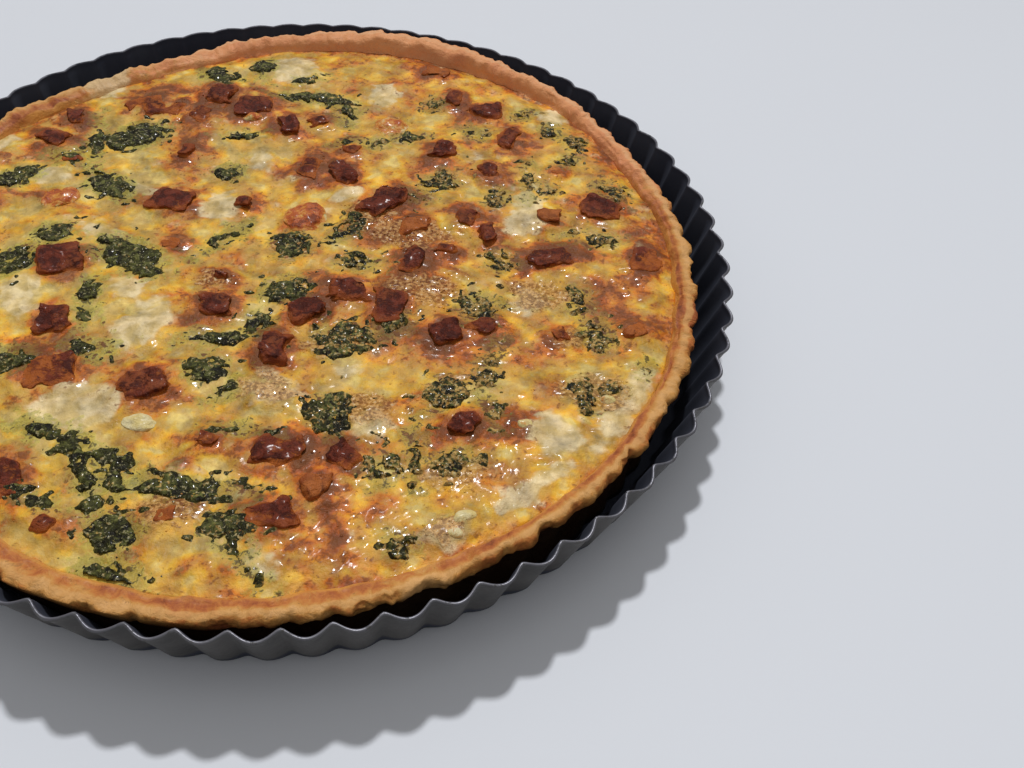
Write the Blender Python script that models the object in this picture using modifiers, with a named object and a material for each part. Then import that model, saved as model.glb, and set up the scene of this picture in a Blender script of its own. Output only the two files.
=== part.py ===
# A spinach and bacon quiche in its dark fluted tart tin, in metres, +Z up.
# The tin stands on z = 0 with its axis on Z. Round the quiche, angles run from +X towards +Y.

import math
import random

import bmesh
import bpy
from mathutils import Matrix, Vector

MM = 0.001
GAP = 0.3 * MM

# Tin: one pressed sheet, a flat base and a flared wall of outward flutes with narrow inward cusps
FLUTES = 72
TIN_HEIGHT = 28 * MM
RIM_RADIUS = 137 * MM
RIM_FLUTE = 3.0 * MM
BASE_RADIUS = 128.5 * MM
BASE_FLUTE = 2.0 * MM
CUSP_SOFTNESS = 0.16
SHEET = 0.8 * MM
TIN_STEPS = 4 * FLUTES

# Pastry case: it shrank away from the tin as it baked, by more on some sides than on others
CASE_STEPS = 2 * FLUTES
FILLING_STEPS = FLUTES
CASE_FLOOR = 3.5 * MM
CASE_WAVE = 0.9 * MM
CASE_FOOT = 2.6 * MM
WIDEST_FOOT = 126.8 * MM
LIP_WIDTH = 4.6 * MM
LIP_CREST = 1.9 * MM
LIP_SLOPE = 6.6 * MM
WALL_FOOT = 8.4 * MM
LIP_SHOULDER = 1.3 * MM
# outer radius and top height of the lip every 15 degrees, in millimetres
LIP_RADII = (126.3, 126.4, 125.2, 127.6, 129.4, 130.4, 130.0, 129.4, 125.6, 124.8, 128.2, 128.8,
             128.4, 128.8, 129.6, 130.6, 131.6, 132.6, 133.0, 132.4, 131.4, 130.4, 129.0, 127.6)
LIP_TOPS = (27.5, 27.4, 27.2, 27.8, 28.6, 29.0, 28.8, 28.4, 27.4, 27.2, 27.6, 27.8,
            27.4, 27.2, 27.0, 27.2, 27.0, 26.8, 26.9, 27.1, 27.0, 27.3, 27.1, 27.3)

# Filling: set egg custard, nearly level, a little wavy, and lower at its edge by the dip
FILLING_TOP = 25.0 * MM
FILLING_WAVE = 0.5 * MM
WAVE_LENGTHS = (120 * MM, 145 * MM, 195 * MM)
FILLING_DIP = 1.1 * MM
FILLING_RINGS = (64.0 * MM, 112.0 * MM)

# Bacon lardons: x, y, length, width and turn in degrees, lengths in millimetres
LARDON_DEPTH = 8.0 * MM
LARDON_LIFT = 0.4 * MM
LARDON_EDGE = 1.2 * MM
LARDON_TILT = math.radians(9)
LARDON_SKEW = 0.28
LARDON_SLANT = 0.2
LARDON_TAPER = 0.2
LARDONS = (
    (-66.5, 72.5, 15.0, 8.0, 110), (-45.0, 84.5, 12.0, 9.0, 80), (-48.5, 70.5, 11.0, 8.0, 78),
    (-31.0, 78.0, 14.0, 11.0, 20), (-16.5, 67.5, 10.0, 9.0, 100), (-92.5, 62.5, 9.0, 8.0, 110),
    (-95.0, 48.5, 13.0, 7.0, -20), (-46.0, 20.0, 16.0, 10.0, -8), (-3.8, 43.5, 13.0, 7.5, 86),
    (8.6, 41.0, 12.0, 8.0, 120), (42.3, 94.0, 10.0, 8.0, 75), (54.8, 86.5, 11.0, 9.5, 8),
    (64.5, 70.0, 14.0, 6.5, 75), (41.0, 59.0, 11.0, 8.0, 80), (58.5, 48.5, 8.0, 8.0, 30),
    (24.3, 27.0, 18.0, 10.0, 60), (36.5, 16.0, 10.0, 8.0, 20), (52.8, 23.2, 8.0, 8.0, 60),
    (60.6, 14.0, 10.0, 7.0, 110), (81.0, 26.0, 9.0, 7.0, 15), (97.3, 33.5, 13.0, 11.0, -10),
    (81.5, 5.5, 17.0, 10.0, 25), (112.6, 8.5, 13.0, 8.5, 97), (37.5, -1.5, 11.0, 7.0, 70),
    (34.0, 111.0, 12.0, 7.0, -12), (20.0, -17.0, 13.0, 7.5, -5), (9.0, -27.0, 11.5, 10.0, 30),
    (33.0, -22.0, 15.0, 9.0, 86), (51.5, -31.8, 10.0, 9.0, 20), (63.5, -28.0, 8.0, 7.5, 40),
    (108.5, -26.0, 9.0, 6.0, 30), (60.0, -68.0, 8.0, 8.0, 15), (11.0, -81.5, 15.0, 10.0, 12),
    (29.0, -81.5, 9.5, 8.0, -30), (14.5, -102.0, 14.0, 9.0, 15), (24.5, -92.0, 9.0, 7.0, 40),
    (2.5, -44.5, 12.0, 9.0, 100), (-71.0, -14.0, 15.0, 13.0, 110), (-63.5, -40.0, 13.0, 9.0, 105),
    (-57.5, -59.5, 15.0, 14.0, 20), (-29.5, -62.0, 15.0, 12.0, 30), (-18.0, -28.5, 11.0, 9.0, 0),
    (-56.0, -97.0, 14.0, 9.0, 110), (-108.0, 12.0, 12.0, 9.0, 35), (-98.0, -40.0, 13.0, 10.0, 80),
    (-84.0, -68.0, 11.0, 9.0, 150),
)

# Browned or pale cheese knobs, and the largest wilted spinach clumps: x, y, length, width, turn
CHEESE_DEPTH = 5.5 * MM
CHEESE_LIFT = 0.1 * MM
CHEESE_RAGGED = 0.12
CHEESE_KNOBS = (
    (-82.0, 17.0, 12.0, 11.0, 30), (0.5, 15.5, 14.0, 13.0, 60), (20.5, 73.0, 12.0, 11.0, 0),
    (-27.5, -75.5, 10.0, 6.5, -5),
)
SPINACH_DEPTH = 4.5 * MM
SPINACH_LIFT = -0.2 * MM
SPINACH_RAGGED = 0.22
SPINACH_CLUMPS = (
    (-66.5, 55.0, 18.0, 11.5, 30), (-67.0, 24.0, 16.0, 10.0, -20), (-50.0, -8.0, 24.0, 13.0, -25),
    (22.0, -38.5, 17.0, 14.0, 0), (97.0, -28.5, 15.0, 11.5, 100), (23.5, -66.5, 16.0, 12.5, 105),
    (-9.5, -95.0, 28.0, 8.0, 3),
)


def clear_scene():
    for obj in list(bpy.data.objects):
        bpy.data.objects.remove(obj, do_unlink=True)


def make_material(name, colour, roughness, metallic=0.0):
    material = bpy.data.materials.new(name)
    material.use_nodes = True
    shader = material.node_tree.nodes["Principled BSDF"]
    shader.inputs["Base Color"].default_value = (*colour, 1.0)
    shader.inputs["Roughness"].default_value = roughness
    shader.inputs["Metallic"].default_value = metallic
    return material


def around(values, angle):
    # evenly spaced values round a circle, joined by a closed smooth (Catmull-Rom) curve
    count = len(values)
    place = (angle / math.tau) % 1.0 * count
    i = int(place)
    t = place - i
    a, b, c, d = (values[(i + k) % count] for k in (-1, 0, 1, 2))
    return 0.5 * (2 * b + (c - a) * t + (2 * a - 5 * b + 4 * c - d) * t**2
                  + (3 * b - a - 3 * c + d) * t**3)


def flute(angle):
    # 0 at a cusp, 1 on the crown of a flute
    wave = abs(math.sin(0.5 * FLUTES * angle))
    top = math.sqrt(1.0 + CUSP_SOFTNESS**2) - CUSP_SOFTNESS
    return (math.sqrt(wave**2 + CUSP_SOFTNESS**2) - CUSP_SOFTNESS) / top


def lip_radius(angle):
    return around(LIP_RADII, angle) * MM


def lip_top(angle):
    return around(LIP_TOPS, angle) * MM


def filling_height(x, y):
    across, along, aslant = (math.tau / length for length in WAVE_LENGTHS)
    wave = math.sin(across * x + 0.6) * math.cos(along * y) + 0.6 * math.sin(aslant * (x - 1.7 * y) + 2.0)
    return FILLING_TOP + FILLING_WAVE * wave / 1.6


def turned(name, profile, steps, collection):
    # a profile of (radius, height) points, down its outer side, turned round Z into a mesh object
    line = bpy.data.meshes.new(name)
    line.from_pydata([(r, 0.0, z) for r, z in profile], [(i, i + 1) for i in range(len(profile) - 1)], [])
    obj = bpy.data.objects.new(name, line)
    collection.objects.link(obj)
    screw = obj.modifiers.new("Turn", "SCREW")
    screw.steps = screw.render_steps = steps
    screw.use_merge_vertices = True
    screw.merge_threshold = 0.00005
    obj.data = bpy.data.meshes.new_from_object(obj.evaluated_get(bpy.context.evaluated_depsgraph_get()))
    obj.modifiers.clear()
    bpy.data.meshes.remove(line)
    obj.data.name = name
    return obj


def reshape(obj, rule):
    # each point is moved to the radius and height that rule(radius, height, angle) gives
    for vertex in obj.data.vertices:
        x, y, z = vertex.co
        radius = math.hypot(x, y)
        if radius > MM:
            angle = math.atan2(y, x)
            radius, z = rule(radius, z, angle)
            vertex.co = (radius * math.cos(angle), radius * math.sin(angle), z)
        else:
            vertex.co = (0.0, 0.0, rule(0.0, z, 0.0)[1])


def finish(obj, material, smooth_angle=40):
    obj.data.materials.clear()
    obj.data.materials.append(material)
    obj.data.shade_smooth()
    obj.data.set_sharp_from_angle(angle=math.radians(smooth_angle))


def make_tin(collection, material):
    profile = ((RIM_RADIUS, TIN_HEIGHT), (BASE_RADIUS, 0.0), (0.0, 0.0))
    tin = turned("tin", profile, TIN_STEPS, collection)

    def fluted(radius, z, angle):
        if radius < 0.5 * BASE_RADIUS:
            return radius, z
        swell = BASE_FLUTE + (RIM_FLUTE - BASE_FLUTE) * z / TIN_HEIGHT
        return radius + swell * flute(angle), z

    reshape(tin, fluted)
    finish(tin, material)
    wall = tin.modifiers.new("Sheet", "SOLIDIFY")
    wall.thickness = SHEET
    wall.offset = -1.0
    wall.use_even_offset = True


def make_case(collection, material):
    # the section has a line of points for the floor's edge, custard level, lip, shoulder and foot
    under = SHEET + GAP
    floor = under + CASE_FLOOR
    spacing = 20 * MM
    heights = (floor, floor, 30 * MM, 32 * MM, 34 * MM, 32 * MM, under)
    profile = [(i * spacing, z) for i, z in enumerate(heights)] + [(0.0, under)]
    case = turned("pastry_case", profile, CASE_STEPS, collection)

    def crimped(radius, z, angle):
        edge = lip_radius(angle)
        top = lip_top(angle)
        wave = CASE_WAVE * (flute(angle) - 1.0)
        section = (
            (0.0, z),
            (edge - WALL_FOOT, floor),
            (edge - LIP_SLOPE, FILLING_TOP - FILLING_DIP),
            (edge - LIP_WIDTH, top - 0.4 * LIP_SHOULDER),
            (edge - LIP_CREST + 0.5 * wave, top),
            (edge + wave, top - LIP_SHOULDER),
            (min(edge - CASE_FOOT, WIDEST_FOOT) + wave, under),
        )
        return section[round(radius / spacing)]

    reshape(case, crimped)
    finish(case, material)


def filling_radius(angle, z):
    # just inside the case's inner wall, which leans out from its foot to the custard's level
    floor = SHEET + GAP + CASE_FLOOR
    rise = (z - floor) / (FILLING_TOP - FILLING_DIP - floor)
    lean = WALL_FOOT + (LIP_SLOPE - WALL_FOOT) * min(rise, 1.0)
    return lip_radius(angle) - lean - GAP


def make_filling(collection, material, cutter):
    # the custard's top is turned flat and wide, then each ring is set to its own height and radius
    bottom = SHEET + 2 * GAP + CASE_FLOOR
    edge_top = FILLING_TOP - FILLING_DIP
    above = 40 * MM
    widest = 200 * MM
    profile = [(0.0, above)] + [(radius, above) for radius in FILLING_RINGS]
    profile += [(widest, edge_top), (widest, bottom), (0.0, bottom)]
    filling = turned("filling", profile, FILLING_STEPS, collection)

    def settled(radius, z, angle):
        if radius > 0.9 * widest:
            return filling_radius(angle, z), z
        if z > 0.9 * above:
            return radius, filling_height(radius * math.cos(angle), radius * math.sin(angle))
        return radius, z

    reshape(filling, settled)
    finish(filling, material)
    pockets = filling.modifiers.new("Pockets", "BOOLEAN")
    pockets.operation = "DIFFERENCE"
    pockets.solver = "EXACT"
    pockets.use_self = True
    pockets.object = cutter


def grown(shape, margin):
    # a copy with every corner moved out along its normal
    copy = shape.copy()
    copy.normal_update()
    for vertex in copy.verts:
        vertex.co += vertex.normal * margin
    return copy


def chunk_shapes(rng, size):
    # an irregular cut lardon, a skewed and tapered block with softened edges, and its pocket
    shape = bmesh.new()
    bmesh.ops.create_cube(shape, size=1.0)
    bmesh.ops.scale(shape, vec=size, verts=shape.verts)
    skew = rng.uniform(-LARDON_SKEW, LARDON_SKEW)
    slant = rng.uniform(-LARDON_SLANT, LARDON_SLANT)
    narrower, thinner, steeper = (rng.uniform(-LARDON_TAPER, LARDON_TAPER) for _ in range(3))
    for vertex in shape.verts:
        x, y, z = vertex.co
        along = 2.0 * x / size[0]
        upward = 2.0 * z / size[2]
        y *= (1.0 + narrower * along) * (1.0 + steeper * upward)
        vertex.co = (x + skew * y + slant * z, y, z * (1.0 + thinner * along))
    pocket = grown(shape, math.sqrt(3.0) * GAP)
    bmesh.ops.bevel(shape, geom=shape.edges[:], offset=LARDON_EDGE, segments=1, affect="EDGES")
    return shape, pocket


def lump_shapes(rng, size, raggedness):
    # a flattened lump with an uneven outline, and its pocket
    shape = bmesh.new()
    bmesh.ops.create_icosphere(shape, subdivisions=2, radius=0.5)
    phases = [rng.uniform(0.0, math.tau) for _ in range(3)]
    for vertex in shape.verts:
        x, y, z = vertex.co
        angle = math.atan2(y, x)
        swell = 1.0 + raggedness * sum(math.sin((k + 2) * angle + phases[k]) for k in range(3)) / 3
        vertex.co = Vector((x * swell * size[0], y * swell * size[1], z * size[2]))
    return shape, grown(shape, 1.5 * GAP)


def place_topping(name, shapes, place, turn, tilt, material, collection, pockets):
    shape, pocket = shapes
    spin = Matrix.Rotation(turn, 4, "Z") @ Matrix.Rotation(tilt[0], 4, "X")
    spin = spin @ Matrix.Rotation(tilt[1], 4, "Y")
    mesh = bpy.data.meshes.new(name)
    shape.to_mesh(mesh)
    shape.free()
    topping = bpy.data.objects.new(name, mesh)
    topping.matrix_world = Matrix.Translation(place) @ spin
    collection.objects.link(topping)
    finish(topping, material, 60)
    bmesh.ops.transform(pocket, matrix=topping.matrix_world, verts=pocket.verts)
    pockets.append(pocket)


def make_toppings(collection, materials, pockets):
    rng = random.Random(17)

    def surface(x, y, lift):
        return x * MM, y * MM, filling_height(x * MM, y * MM) + lift

    for i, (x, y, length, width, turn) in enumerate(LARDONS):
        size = Vector((length * MM, width * MM, LARDON_DEPTH * rng.uniform(0.85, 1.1)))
        tilt = (rng.uniform(-LARDON_TILT, LARDON_TILT), rng.uniform(-LARDON_TILT, LARDON_TILT))
        place_topping(f"lardon_{i + 1:02d}", chunk_shapes(rng, size), surface(x, y, LARDON_LIFT),
                      math.radians(turn), tilt, materials["bacon"], collection, pockets)
    lumps = (("cheese", CHEESE_KNOBS, CHEESE_DEPTH, CHEESE_LIFT, CHEESE_RAGGED),
             ("spinach", SPINACH_CLUMPS, SPINACH_DEPTH, SPINACH_LIFT, SPINACH_RAGGED))
    for kind, places, depth, lift, ragged in lumps:
        for i, (x, y, length, width, turn) in enumerate(places):
            size = Vector((length * MM, width * MM, depth))
            place_topping(f"{kind}_{i + 1:02d}", lump_shapes(rng, size, ragged), surface(x, y, lift),
                          math.radians(turn), (0.0, 0.0), materials[kind], collection, pockets)


def join_pockets(pockets, collection):
    joined = bmesh.new()
    mesh = bpy.data.meshes.new("topping_pockets")
    for pocket in pockets:
        pocket.to_mesh(mesh)
        joined.from_mesh(mesh)
        pocket.free()
    joined.to_mesh(mesh)
    joined.free()
    cutter = bpy.data.objects.new("topping_pockets", mesh)
    cutter.hide_render = True
    cutter.display_type = "WIRE"
    collection.objects.link(cutter)
    return cutter


def main():
    clear_scene()
    quiche = bpy.data.collections.new("quiche")
    cutting = bpy.data.collections.new("cutters")
    for collection in (quiche, cutting):
        bpy.context.scene.collection.children.link(collection)
    materials = {
        "tin": make_material("dark_tin", (0.035, 0.036, 0.042), 0.42, 0.6),
        "pastry": make_material("baked_pastry", (0.62, 0.36, 0.17), 0.65),
        "custard": make_material("set_custard", (0.80, 0.55, 0.16), 0.35),
        "bacon": make_material("browned_bacon", (0.24, 0.06, 0.03), 0.40),
        "cheese": make_material("melted_cheese", (0.72, 0.42, 0.18), 0.40),
        "spinach": make_material("wilted_spinach", (0.035, 0.06, 0.03), 0.45),
    }
    pockets = []
    make_tin(quiche, materials["tin"])
    make_case(quiche, materials["pastry"])
    make_toppings(quiche, materials, pockets)
    make_filling(quiche, materials["custard"], join_pockets(pockets, cutting))


main()
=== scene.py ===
import math

import bmesh
import bpy
import numpy as np
from mathutils import Euler, Matrix, Vector


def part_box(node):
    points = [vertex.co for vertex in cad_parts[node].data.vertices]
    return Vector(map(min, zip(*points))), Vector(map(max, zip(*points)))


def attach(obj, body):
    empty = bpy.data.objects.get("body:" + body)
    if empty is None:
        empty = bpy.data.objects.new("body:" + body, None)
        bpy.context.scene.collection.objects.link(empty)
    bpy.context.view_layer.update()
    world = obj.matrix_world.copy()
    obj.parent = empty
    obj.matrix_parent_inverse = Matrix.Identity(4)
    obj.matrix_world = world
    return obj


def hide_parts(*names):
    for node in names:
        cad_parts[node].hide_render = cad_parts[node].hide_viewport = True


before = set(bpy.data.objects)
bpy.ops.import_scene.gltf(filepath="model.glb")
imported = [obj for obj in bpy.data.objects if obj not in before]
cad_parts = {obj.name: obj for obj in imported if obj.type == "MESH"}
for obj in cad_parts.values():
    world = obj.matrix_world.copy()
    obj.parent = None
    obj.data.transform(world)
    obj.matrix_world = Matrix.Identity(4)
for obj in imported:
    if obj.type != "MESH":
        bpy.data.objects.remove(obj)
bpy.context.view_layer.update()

# Spinach and bacon quiche in a dark fluted tart tin. The shapes are worked out in millimetres from the
# tin's axis, heights are above the table, and a mesh is turned into metres when it is made.
mm = 0.001
print("frame loaded")


def readEach(items, field):
    values = np.empty(3 * len(items))
    items.foreach_get(field, values)
    return values.reshape(-1, 3)


def objectPoints(obj):
    return readEach(obj.data.vertices, "co") / mm


def footprint(name):
    # x, y, length, width and turn in degrees of a topping, from the spread of its points
    points = objectPoints(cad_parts[name])[:, :2]
    lower, upper = points.min(axis=0), points.max(axis=0)
    middle = (lower + upper) / 2
    spread = np.cov((points - middle).T)
    _, axes = np.linalg.eigh(spread)
    along = axes[:, 1]
    across = axes[:, 0]
    length = np.ptp(points @ along)
    width = np.ptp(points @ across)
    return (*middle, length, width, math.degrees(math.atan2(along[1], along[0])))


def cellNumbers(cells, seed):
    # a repeatable number from -1 to 1 for each whole-number cell
    mixed = np.full(len(cells), seed * 2654435761 + 97, dtype=np.uint64)
    for column in cells.T:
        mixed ^= column.astype(np.int64).astype(np.uint64)
        mixed *= np.uint64(0x9E3779B97F4A7C15)
        mixed ^= mixed >> np.uint64(31)
    return (mixed % np.uint64(65536)).astype(float) / 32767.5 - 1.0


def softNoise(points, size, seed):
    # smooth noise from -1 to 1 with lumps of about the given size, for points in any number of axes
    places = points / size
    cells = np.floor(places)
    rest = places - cells
    rest = rest * rest * (3.0 - 2.0 * rest)
    total = np.zeros(len(points))
    axes = points.shape[1]
    for corner in range(2 ** axes):
        step = np.array([(corner >> axis) & 1 for axis in range(axes)])
        weight = np.prod(np.where(step == 1, rest, 1.0 - rest), axis=1)
        total += weight * cellNumbers(cells + step, seed)
    return total


def layered(points, size, seed, layers=3, keep=0.5):
    # several layers of noise, each half as large as the one before
    total = np.zeros(len(points))
    reach = 0.0
    for layer in range(layers):
        total += keep ** layer * softNoise(points, size / 2 ** layer, seed + 31 * layer)
        reach += keep ** layer
    return total / reach


def warped(points, size, reach, seed):
    # the places pushed about, so that noise read at them comes out in swirls
    push = [softNoise(points, size, seed + axis) for axis in range(points.shape[1])]
    return points + reach * np.column_stack(push)


def smoothStep(values, low, high):
    t = np.clip((values - low) / (high - low), 0.0, 1.0)
    return t * t * (3.0 - 2.0 * t)


def spun(along, across, turn):
    # x and y of what lies along and across something that is turned by some degrees
    cosine, sine = math.cos(math.radians(turn)), math.sin(math.radians(turn))
    return along * cosine - across * sine, along * sine + across * cosine


def ovalFrame(points, oval):
    # places along and across an oval (x, y, length, width, turn), each from -1 to 1 inside it
    x, y, length, width, turn = oval
    along, across = spun(points[:, 0] - x, points[:, 1] - y, -turn)
    return along / (0.5 * length), across / (0.5 * width)


def onOval(oval, reach, angle):
    # x and y at an angle round an oval, the reach 1 on its outline
    x, y, length, width, turn = oval
    dx, dy = spun(0.5 * length * reach * np.cos(angle), 0.5 * width * reach * np.sin(angle), turn)
    return x + dx, y + dy


def depthInside(points, ovals):
    # millimetres inside the outline of the nearest oval, below 0 outside
    deepest = np.full(len(points), -50.0)
    for oval in ovals:
        depth = (1.0 - np.hypot(*ovalFrame(points, oval))) * 0.5 * min(oval[2:4])
        deepest = np.maximum(deepest, depth)
    return deepest


def polar(reach, angle, *heights):
    # places from their distance and angle round the axis, with heights if there are any
    columns = (reach * np.cos(angle), reach * np.sin(angle), *heights)
    return np.column_stack([column.ravel() for column in columns])


def newObject(name, mesh):
    obj = bpy.data.objects.new(name, mesh)
    bpy.context.scene.collection.objects.link(obj)
    return obj


def fromShape(name, shape):
    # an object from a bmesh, which is freed
    mesh = bpy.data.meshes.new(name)
    shape.to_mesh(mesh)
    shape.free()
    return newObject(name, mesh)


def meshFrom(name, points, faces, marks=None):
    # a mesh object from points in millimetres, with one float attribute for each mark
    mesh = bpy.data.meshes.new(name)
    mesh.from_pydata((np.asarray(points) * mm).tolist(), [], faces)
    mesh.update()
    obj = newObject(name, mesh)
    for mark, values in (marks or {}).items():
        setMark(obj, mark, values)
    mesh.shade_smooth()
    return obj


def setMark(obj, mark, values):
    attribute = obj.data.attributes.new(mark, "FLOAT", "POINT")
    attribute.data.foreach_set("value", np.asarray(values, dtype=np.float32))


def setPoints(obj, points):
    obj.data.vertices.foreach_set("co", (points * mm).ravel())
    obj.data.update()


def bakeModifiers(obj):
    # the evaluated mesh replaces the object's own, and its modifiers go
    made = bpy.data.meshes.new_from_object(obj.evaluated_get(bpy.context.evaluated_depsgraph_get()))
    old = obj.data
    obj.modifiers.clear()
    obj.data = made
    made.name = obj.name
    if old.users == 0:
        bpy.data.meshes.remove(old)
    return obj


def wrapFaces(rows, steps):
    # quads between rows of points that each go once round
    faces = []
    for start in range(0, (rows - 1) * steps, steps):
        for step in range(steps):
            a, b = start + step, start + (step + 1) % steps
            faces.append((a, b, b + steps, a + steps))
    return faces


def gridFaces(columns, rows, first=0):
    # quads of a grid whose points are numbered row by row
    wide = columns + 1
    corners = [first + row * wide + column for row in range(rows) for column in range(columns)]
    return [(a, a + 1, a + wide + 1, a + wide) for a in corners]


def gridRim(columns, rows):
    # its points once round the rim
    wide = columns + 1
    rim = list(range(columns)) + [row * wide + columns for row in range(rows)]
    rim += [rows * wide + column for column in range(columns, 0, -1)]
    return rim + [row * wide for row in range(rows, 0, -1)]


def fanFaces(ring, middle, turned=False):
    count = len(ring)
    fans = [(ring[i], ring[(i + 1) % count], middle) for i in range(count)]
    return [fan[::-1] for fan in fans] if turned else fans


def operator(kind, swapped=False):
    if swapped:
        return lambda wire, other: wire.graph.math(kind, other, wire)
    return lambda wire, other: wire.graph.math(kind, wire, other)


class Wire:
    # an output of a node; arithmetic written with it adds Math nodes
    def __init__(self, graph, socket):
        self.graph = graph
        self.socket = socket

    __add__, __radd__ = operator("ADD"), operator("ADD", True)
    __sub__, __rsub__ = operator("SUBTRACT"), operator("SUBTRACT", True)
    __mul__, __rmul__ = operator("MULTIPLY"), operator("MULTIPLY", True)
    __truediv__ = operator("DIVIDE")


class Graph:
    # one node tree; add() makes any node, and the short methods below make the usual ones
    def __init__(self, tree):
        self.tree = tree
        self.made = 0

    def add(self, kind, settings=None, inputs=None, output=0):
        node = self.tree.nodes.new(kind)
        node.location = (220 * (self.made % 12), -260 * (self.made // 12))
        self.made += 1
        for name, value in (settings or {}).items():
            setattr(node, name, value)
        for name, value in (inputs or {}).items():
            self.feed(node.inputs[name], value)
        return Wire(self, node.outputs[output]) if len(node.outputs) else node

    def feed(self, socket, value):
        if isinstance(value, Wire):
            self.tree.links.new(value.socket, socket)
        else:
            socket.default_value = value

    def math(self, operation, *values, clamp=False):
        settings = {"operation": operation, "use_clamp": clamp}
        return self.add("ShaderNodeMath", settings, dict(enumerate(values)))

    def step(self, value, low, high):
        # 0 below low, 1 above high, and smooth between them
        inputs = {"Value": value, "From Min": low, "From Max": high}
        return self.add("ShaderNodeMapRange", {"interpolation_type": "SMOOTHSTEP"}, inputs)

    def twoTone(self, field, low, high, first, second):
        return self.mix(self.step(field, low, high), paint(*first), paint(*second))

    def coats(self, colour, *coats):
        # tones laid over one another: each covers where its field goes from low to high, by its cover
        for tone, field, low, high, *cover in coats:
            tone = tone if isinstance(tone, Wire) else paint(*tone)
            colour = self.mix(self.step(field, low, high) * (cover[0] if cover else 1.0), colour, tone)
        return colour

    def ramp(self, value, stops):
        # a run of colours along a value, each stop a place and its colour
        run = self.add("ShaderNodeValToRGB", None, {0: value})
        elements = run.socket.node.color_ramp.elements
        while len(elements) < len(stops):
            elements.new(1.0)
        for element, (place, colour) in zip(elements, stops):
            element.position = place
            element.color = colour
        return run

    def moved(self, where, by):
        return self.add("ShaderNodeVectorMath", {"operation": "ADD"}, {0: where, 1: (by, -by, 0.6 * by)})

    def mix(self, factor, first, second, blend="MIX"):
        settings = {"data_type": "RGBA", "blend_type": blend, "clamp_factor": True}
        return self.add("ShaderNodeMix", settings, {0: factor, 6: first, 7: second}, output=2)

    def noise(self, where, size, detail=2.0, roughness=0.5, distortion=0.0):
        # lumps of about the given size in metres, from 0 to 1
        inputs = {"Vector": where, "Scale": 1.0 / size, "Detail": detail, "Roughness": roughness,
                  "Distortion": distortion}
        return self.add("ShaderNodeTexNoise", {"noise_dimensions": "3D"}, inputs)

    def cells(self, where, size, feature="F1", spread=1.0):
        inputs = {"Vector": where, "Scale": 1.0 / size, "Randomness": spread}
        return self.add("ShaderNodeTexVoronoi", {"feature": feature}, inputs)

    def marks(self, *names):
        return [self.add("ShaderNodeAttribute", {"attribute_name": name}, output=2) for name in names]

    def surface(self, colour, roughness=None, coat=None, relief=None, strength=1.0):
        # what changes over the surface; the relief is a height in metres
        inputs = self.tree.nodes["Principled BSDF"].inputs
        bump = {"Strength": strength, "Distance": 1.0, "Height": relief}
        normal = self.add("ShaderNodeBump", None, bump) if relief else None
        fed = {"Base Color": colour, "Roughness": roughness, "Coat Weight": coat, "Normal": normal}
        for name, value in fed.items():
            if value:
                self.feed(inputs[name], value)


def paint(red, green, blue, lift=1.22):
    # a colour as it looks under the key light, 0 to 255, as the linear colour of the surface itself
    def linear(value):
        value /= 255.0
        return value / 12.92 if value <= 0.04045 else ((value + 0.055) / 1.055) ** 2.4
    return (*(min(0.95, lift * linear(value)) for value in (red, green, blue)), 1.0)


def newFinish(name, settings):
    # a Principled material, its graph and the place on the object; settings stay the same all over
    material = bpy.data.materials.new(name)
    material.use_nodes = True
    shader = material.node_tree.nodes["Principled BSDF"]
    for socket, value in settings.items():
        shader.inputs[socket].default_value = value
    graph = Graph(material.node_tree)
    return material, graph, graph.add("ShaderNodeTexCoord", output=3)


def putOn(obj, material, slot, *nodes):
    # the material, and what the frame has to know about a finished piece
    obj.data.materials.clear()
    obj.data.materials.append(material)
    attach(obj, "root")
    if nodes:
        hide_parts(*nodes)
    print(f"{obj.name}: {sum(len(face.vertices) - 2 for face in obj.data.polygons)} triangles")


# what the frame says about the tin, the lip of the pastry and the custard's level
tinBottom, tinTop = (corner[2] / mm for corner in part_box("tin"))
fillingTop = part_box("filling")[1][2] / mm
weld = 0.02 * mm          # points nearer than this are one
flutes = 72
caseRings = 2 * flutes
cuspSoftness = 0.2
# the sides where the lip stands further out: turn and width in degrees, and millimetres outwards
lipSides = ((10.0, 60.0, 1.3), (-108.0, 34.0, 1.8), (79.0, 21.0, 2.2))
lipRise = (79.0, 24.0, 1.1)   # and the one where it also stands higher
custardReach = 4.7        # from the crest in to the custard
kinds = ("lardon", "cheese", "spinach")
lardonNames, cheeseNames, spinachNames = (
    sorted(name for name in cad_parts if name.startswith(kind)) for kind in kinds)


def crestRing():
    # radius and height of the lip's crest at even angles, smoothed over the flutes
    points = objectPoints(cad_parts["pastry_case"])
    radius = np.hypot(points[:, 0], points[:, 1])
    ring = np.round(np.arctan2(points[:, 1], points[:, 0]) / math.tau * caseRings).astype(int) % caseRings
    crest = np.zeros((caseRings, 2))
    for place in np.argsort(points[:, 2]):
        crest[ring[place]] = radius[place], points[place, 2]
    return (np.roll(crest, 1, axis=0) + 2.0 * crest + np.roll(crest, -1, axis=0)) / 4.0


crest = crestRing()


def roundRing(column, angle):
    place = (np.asarray(angle) / math.tau % 1.0) * caseRings
    before = np.floor(place).astype(int)
    part = place - before
    values = crest[:, column]
    return values[before % caseRings] * (1.0 - part) + values[(before + 1) % caseRings] * part


def innerReach(angle):
    # the custard comes nearer the crest on the right
    facing = smoothStep(np.cos(np.asarray(angle) - math.radians(5.0)), 0.2, 0.9)
    return 1.0 - 0.36 * facing


def lipSpread(angle, sides=lipSides):
    # how much further out the lip stands, on the sides where the case shrank least
    total = np.zeros(len(angle))
    for turn, width, reach in sides:
        total += reach * smoothStep(np.cos(angle - math.radians(turn)), math.cos(math.radians(width)), 1.0)
    return total


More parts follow.
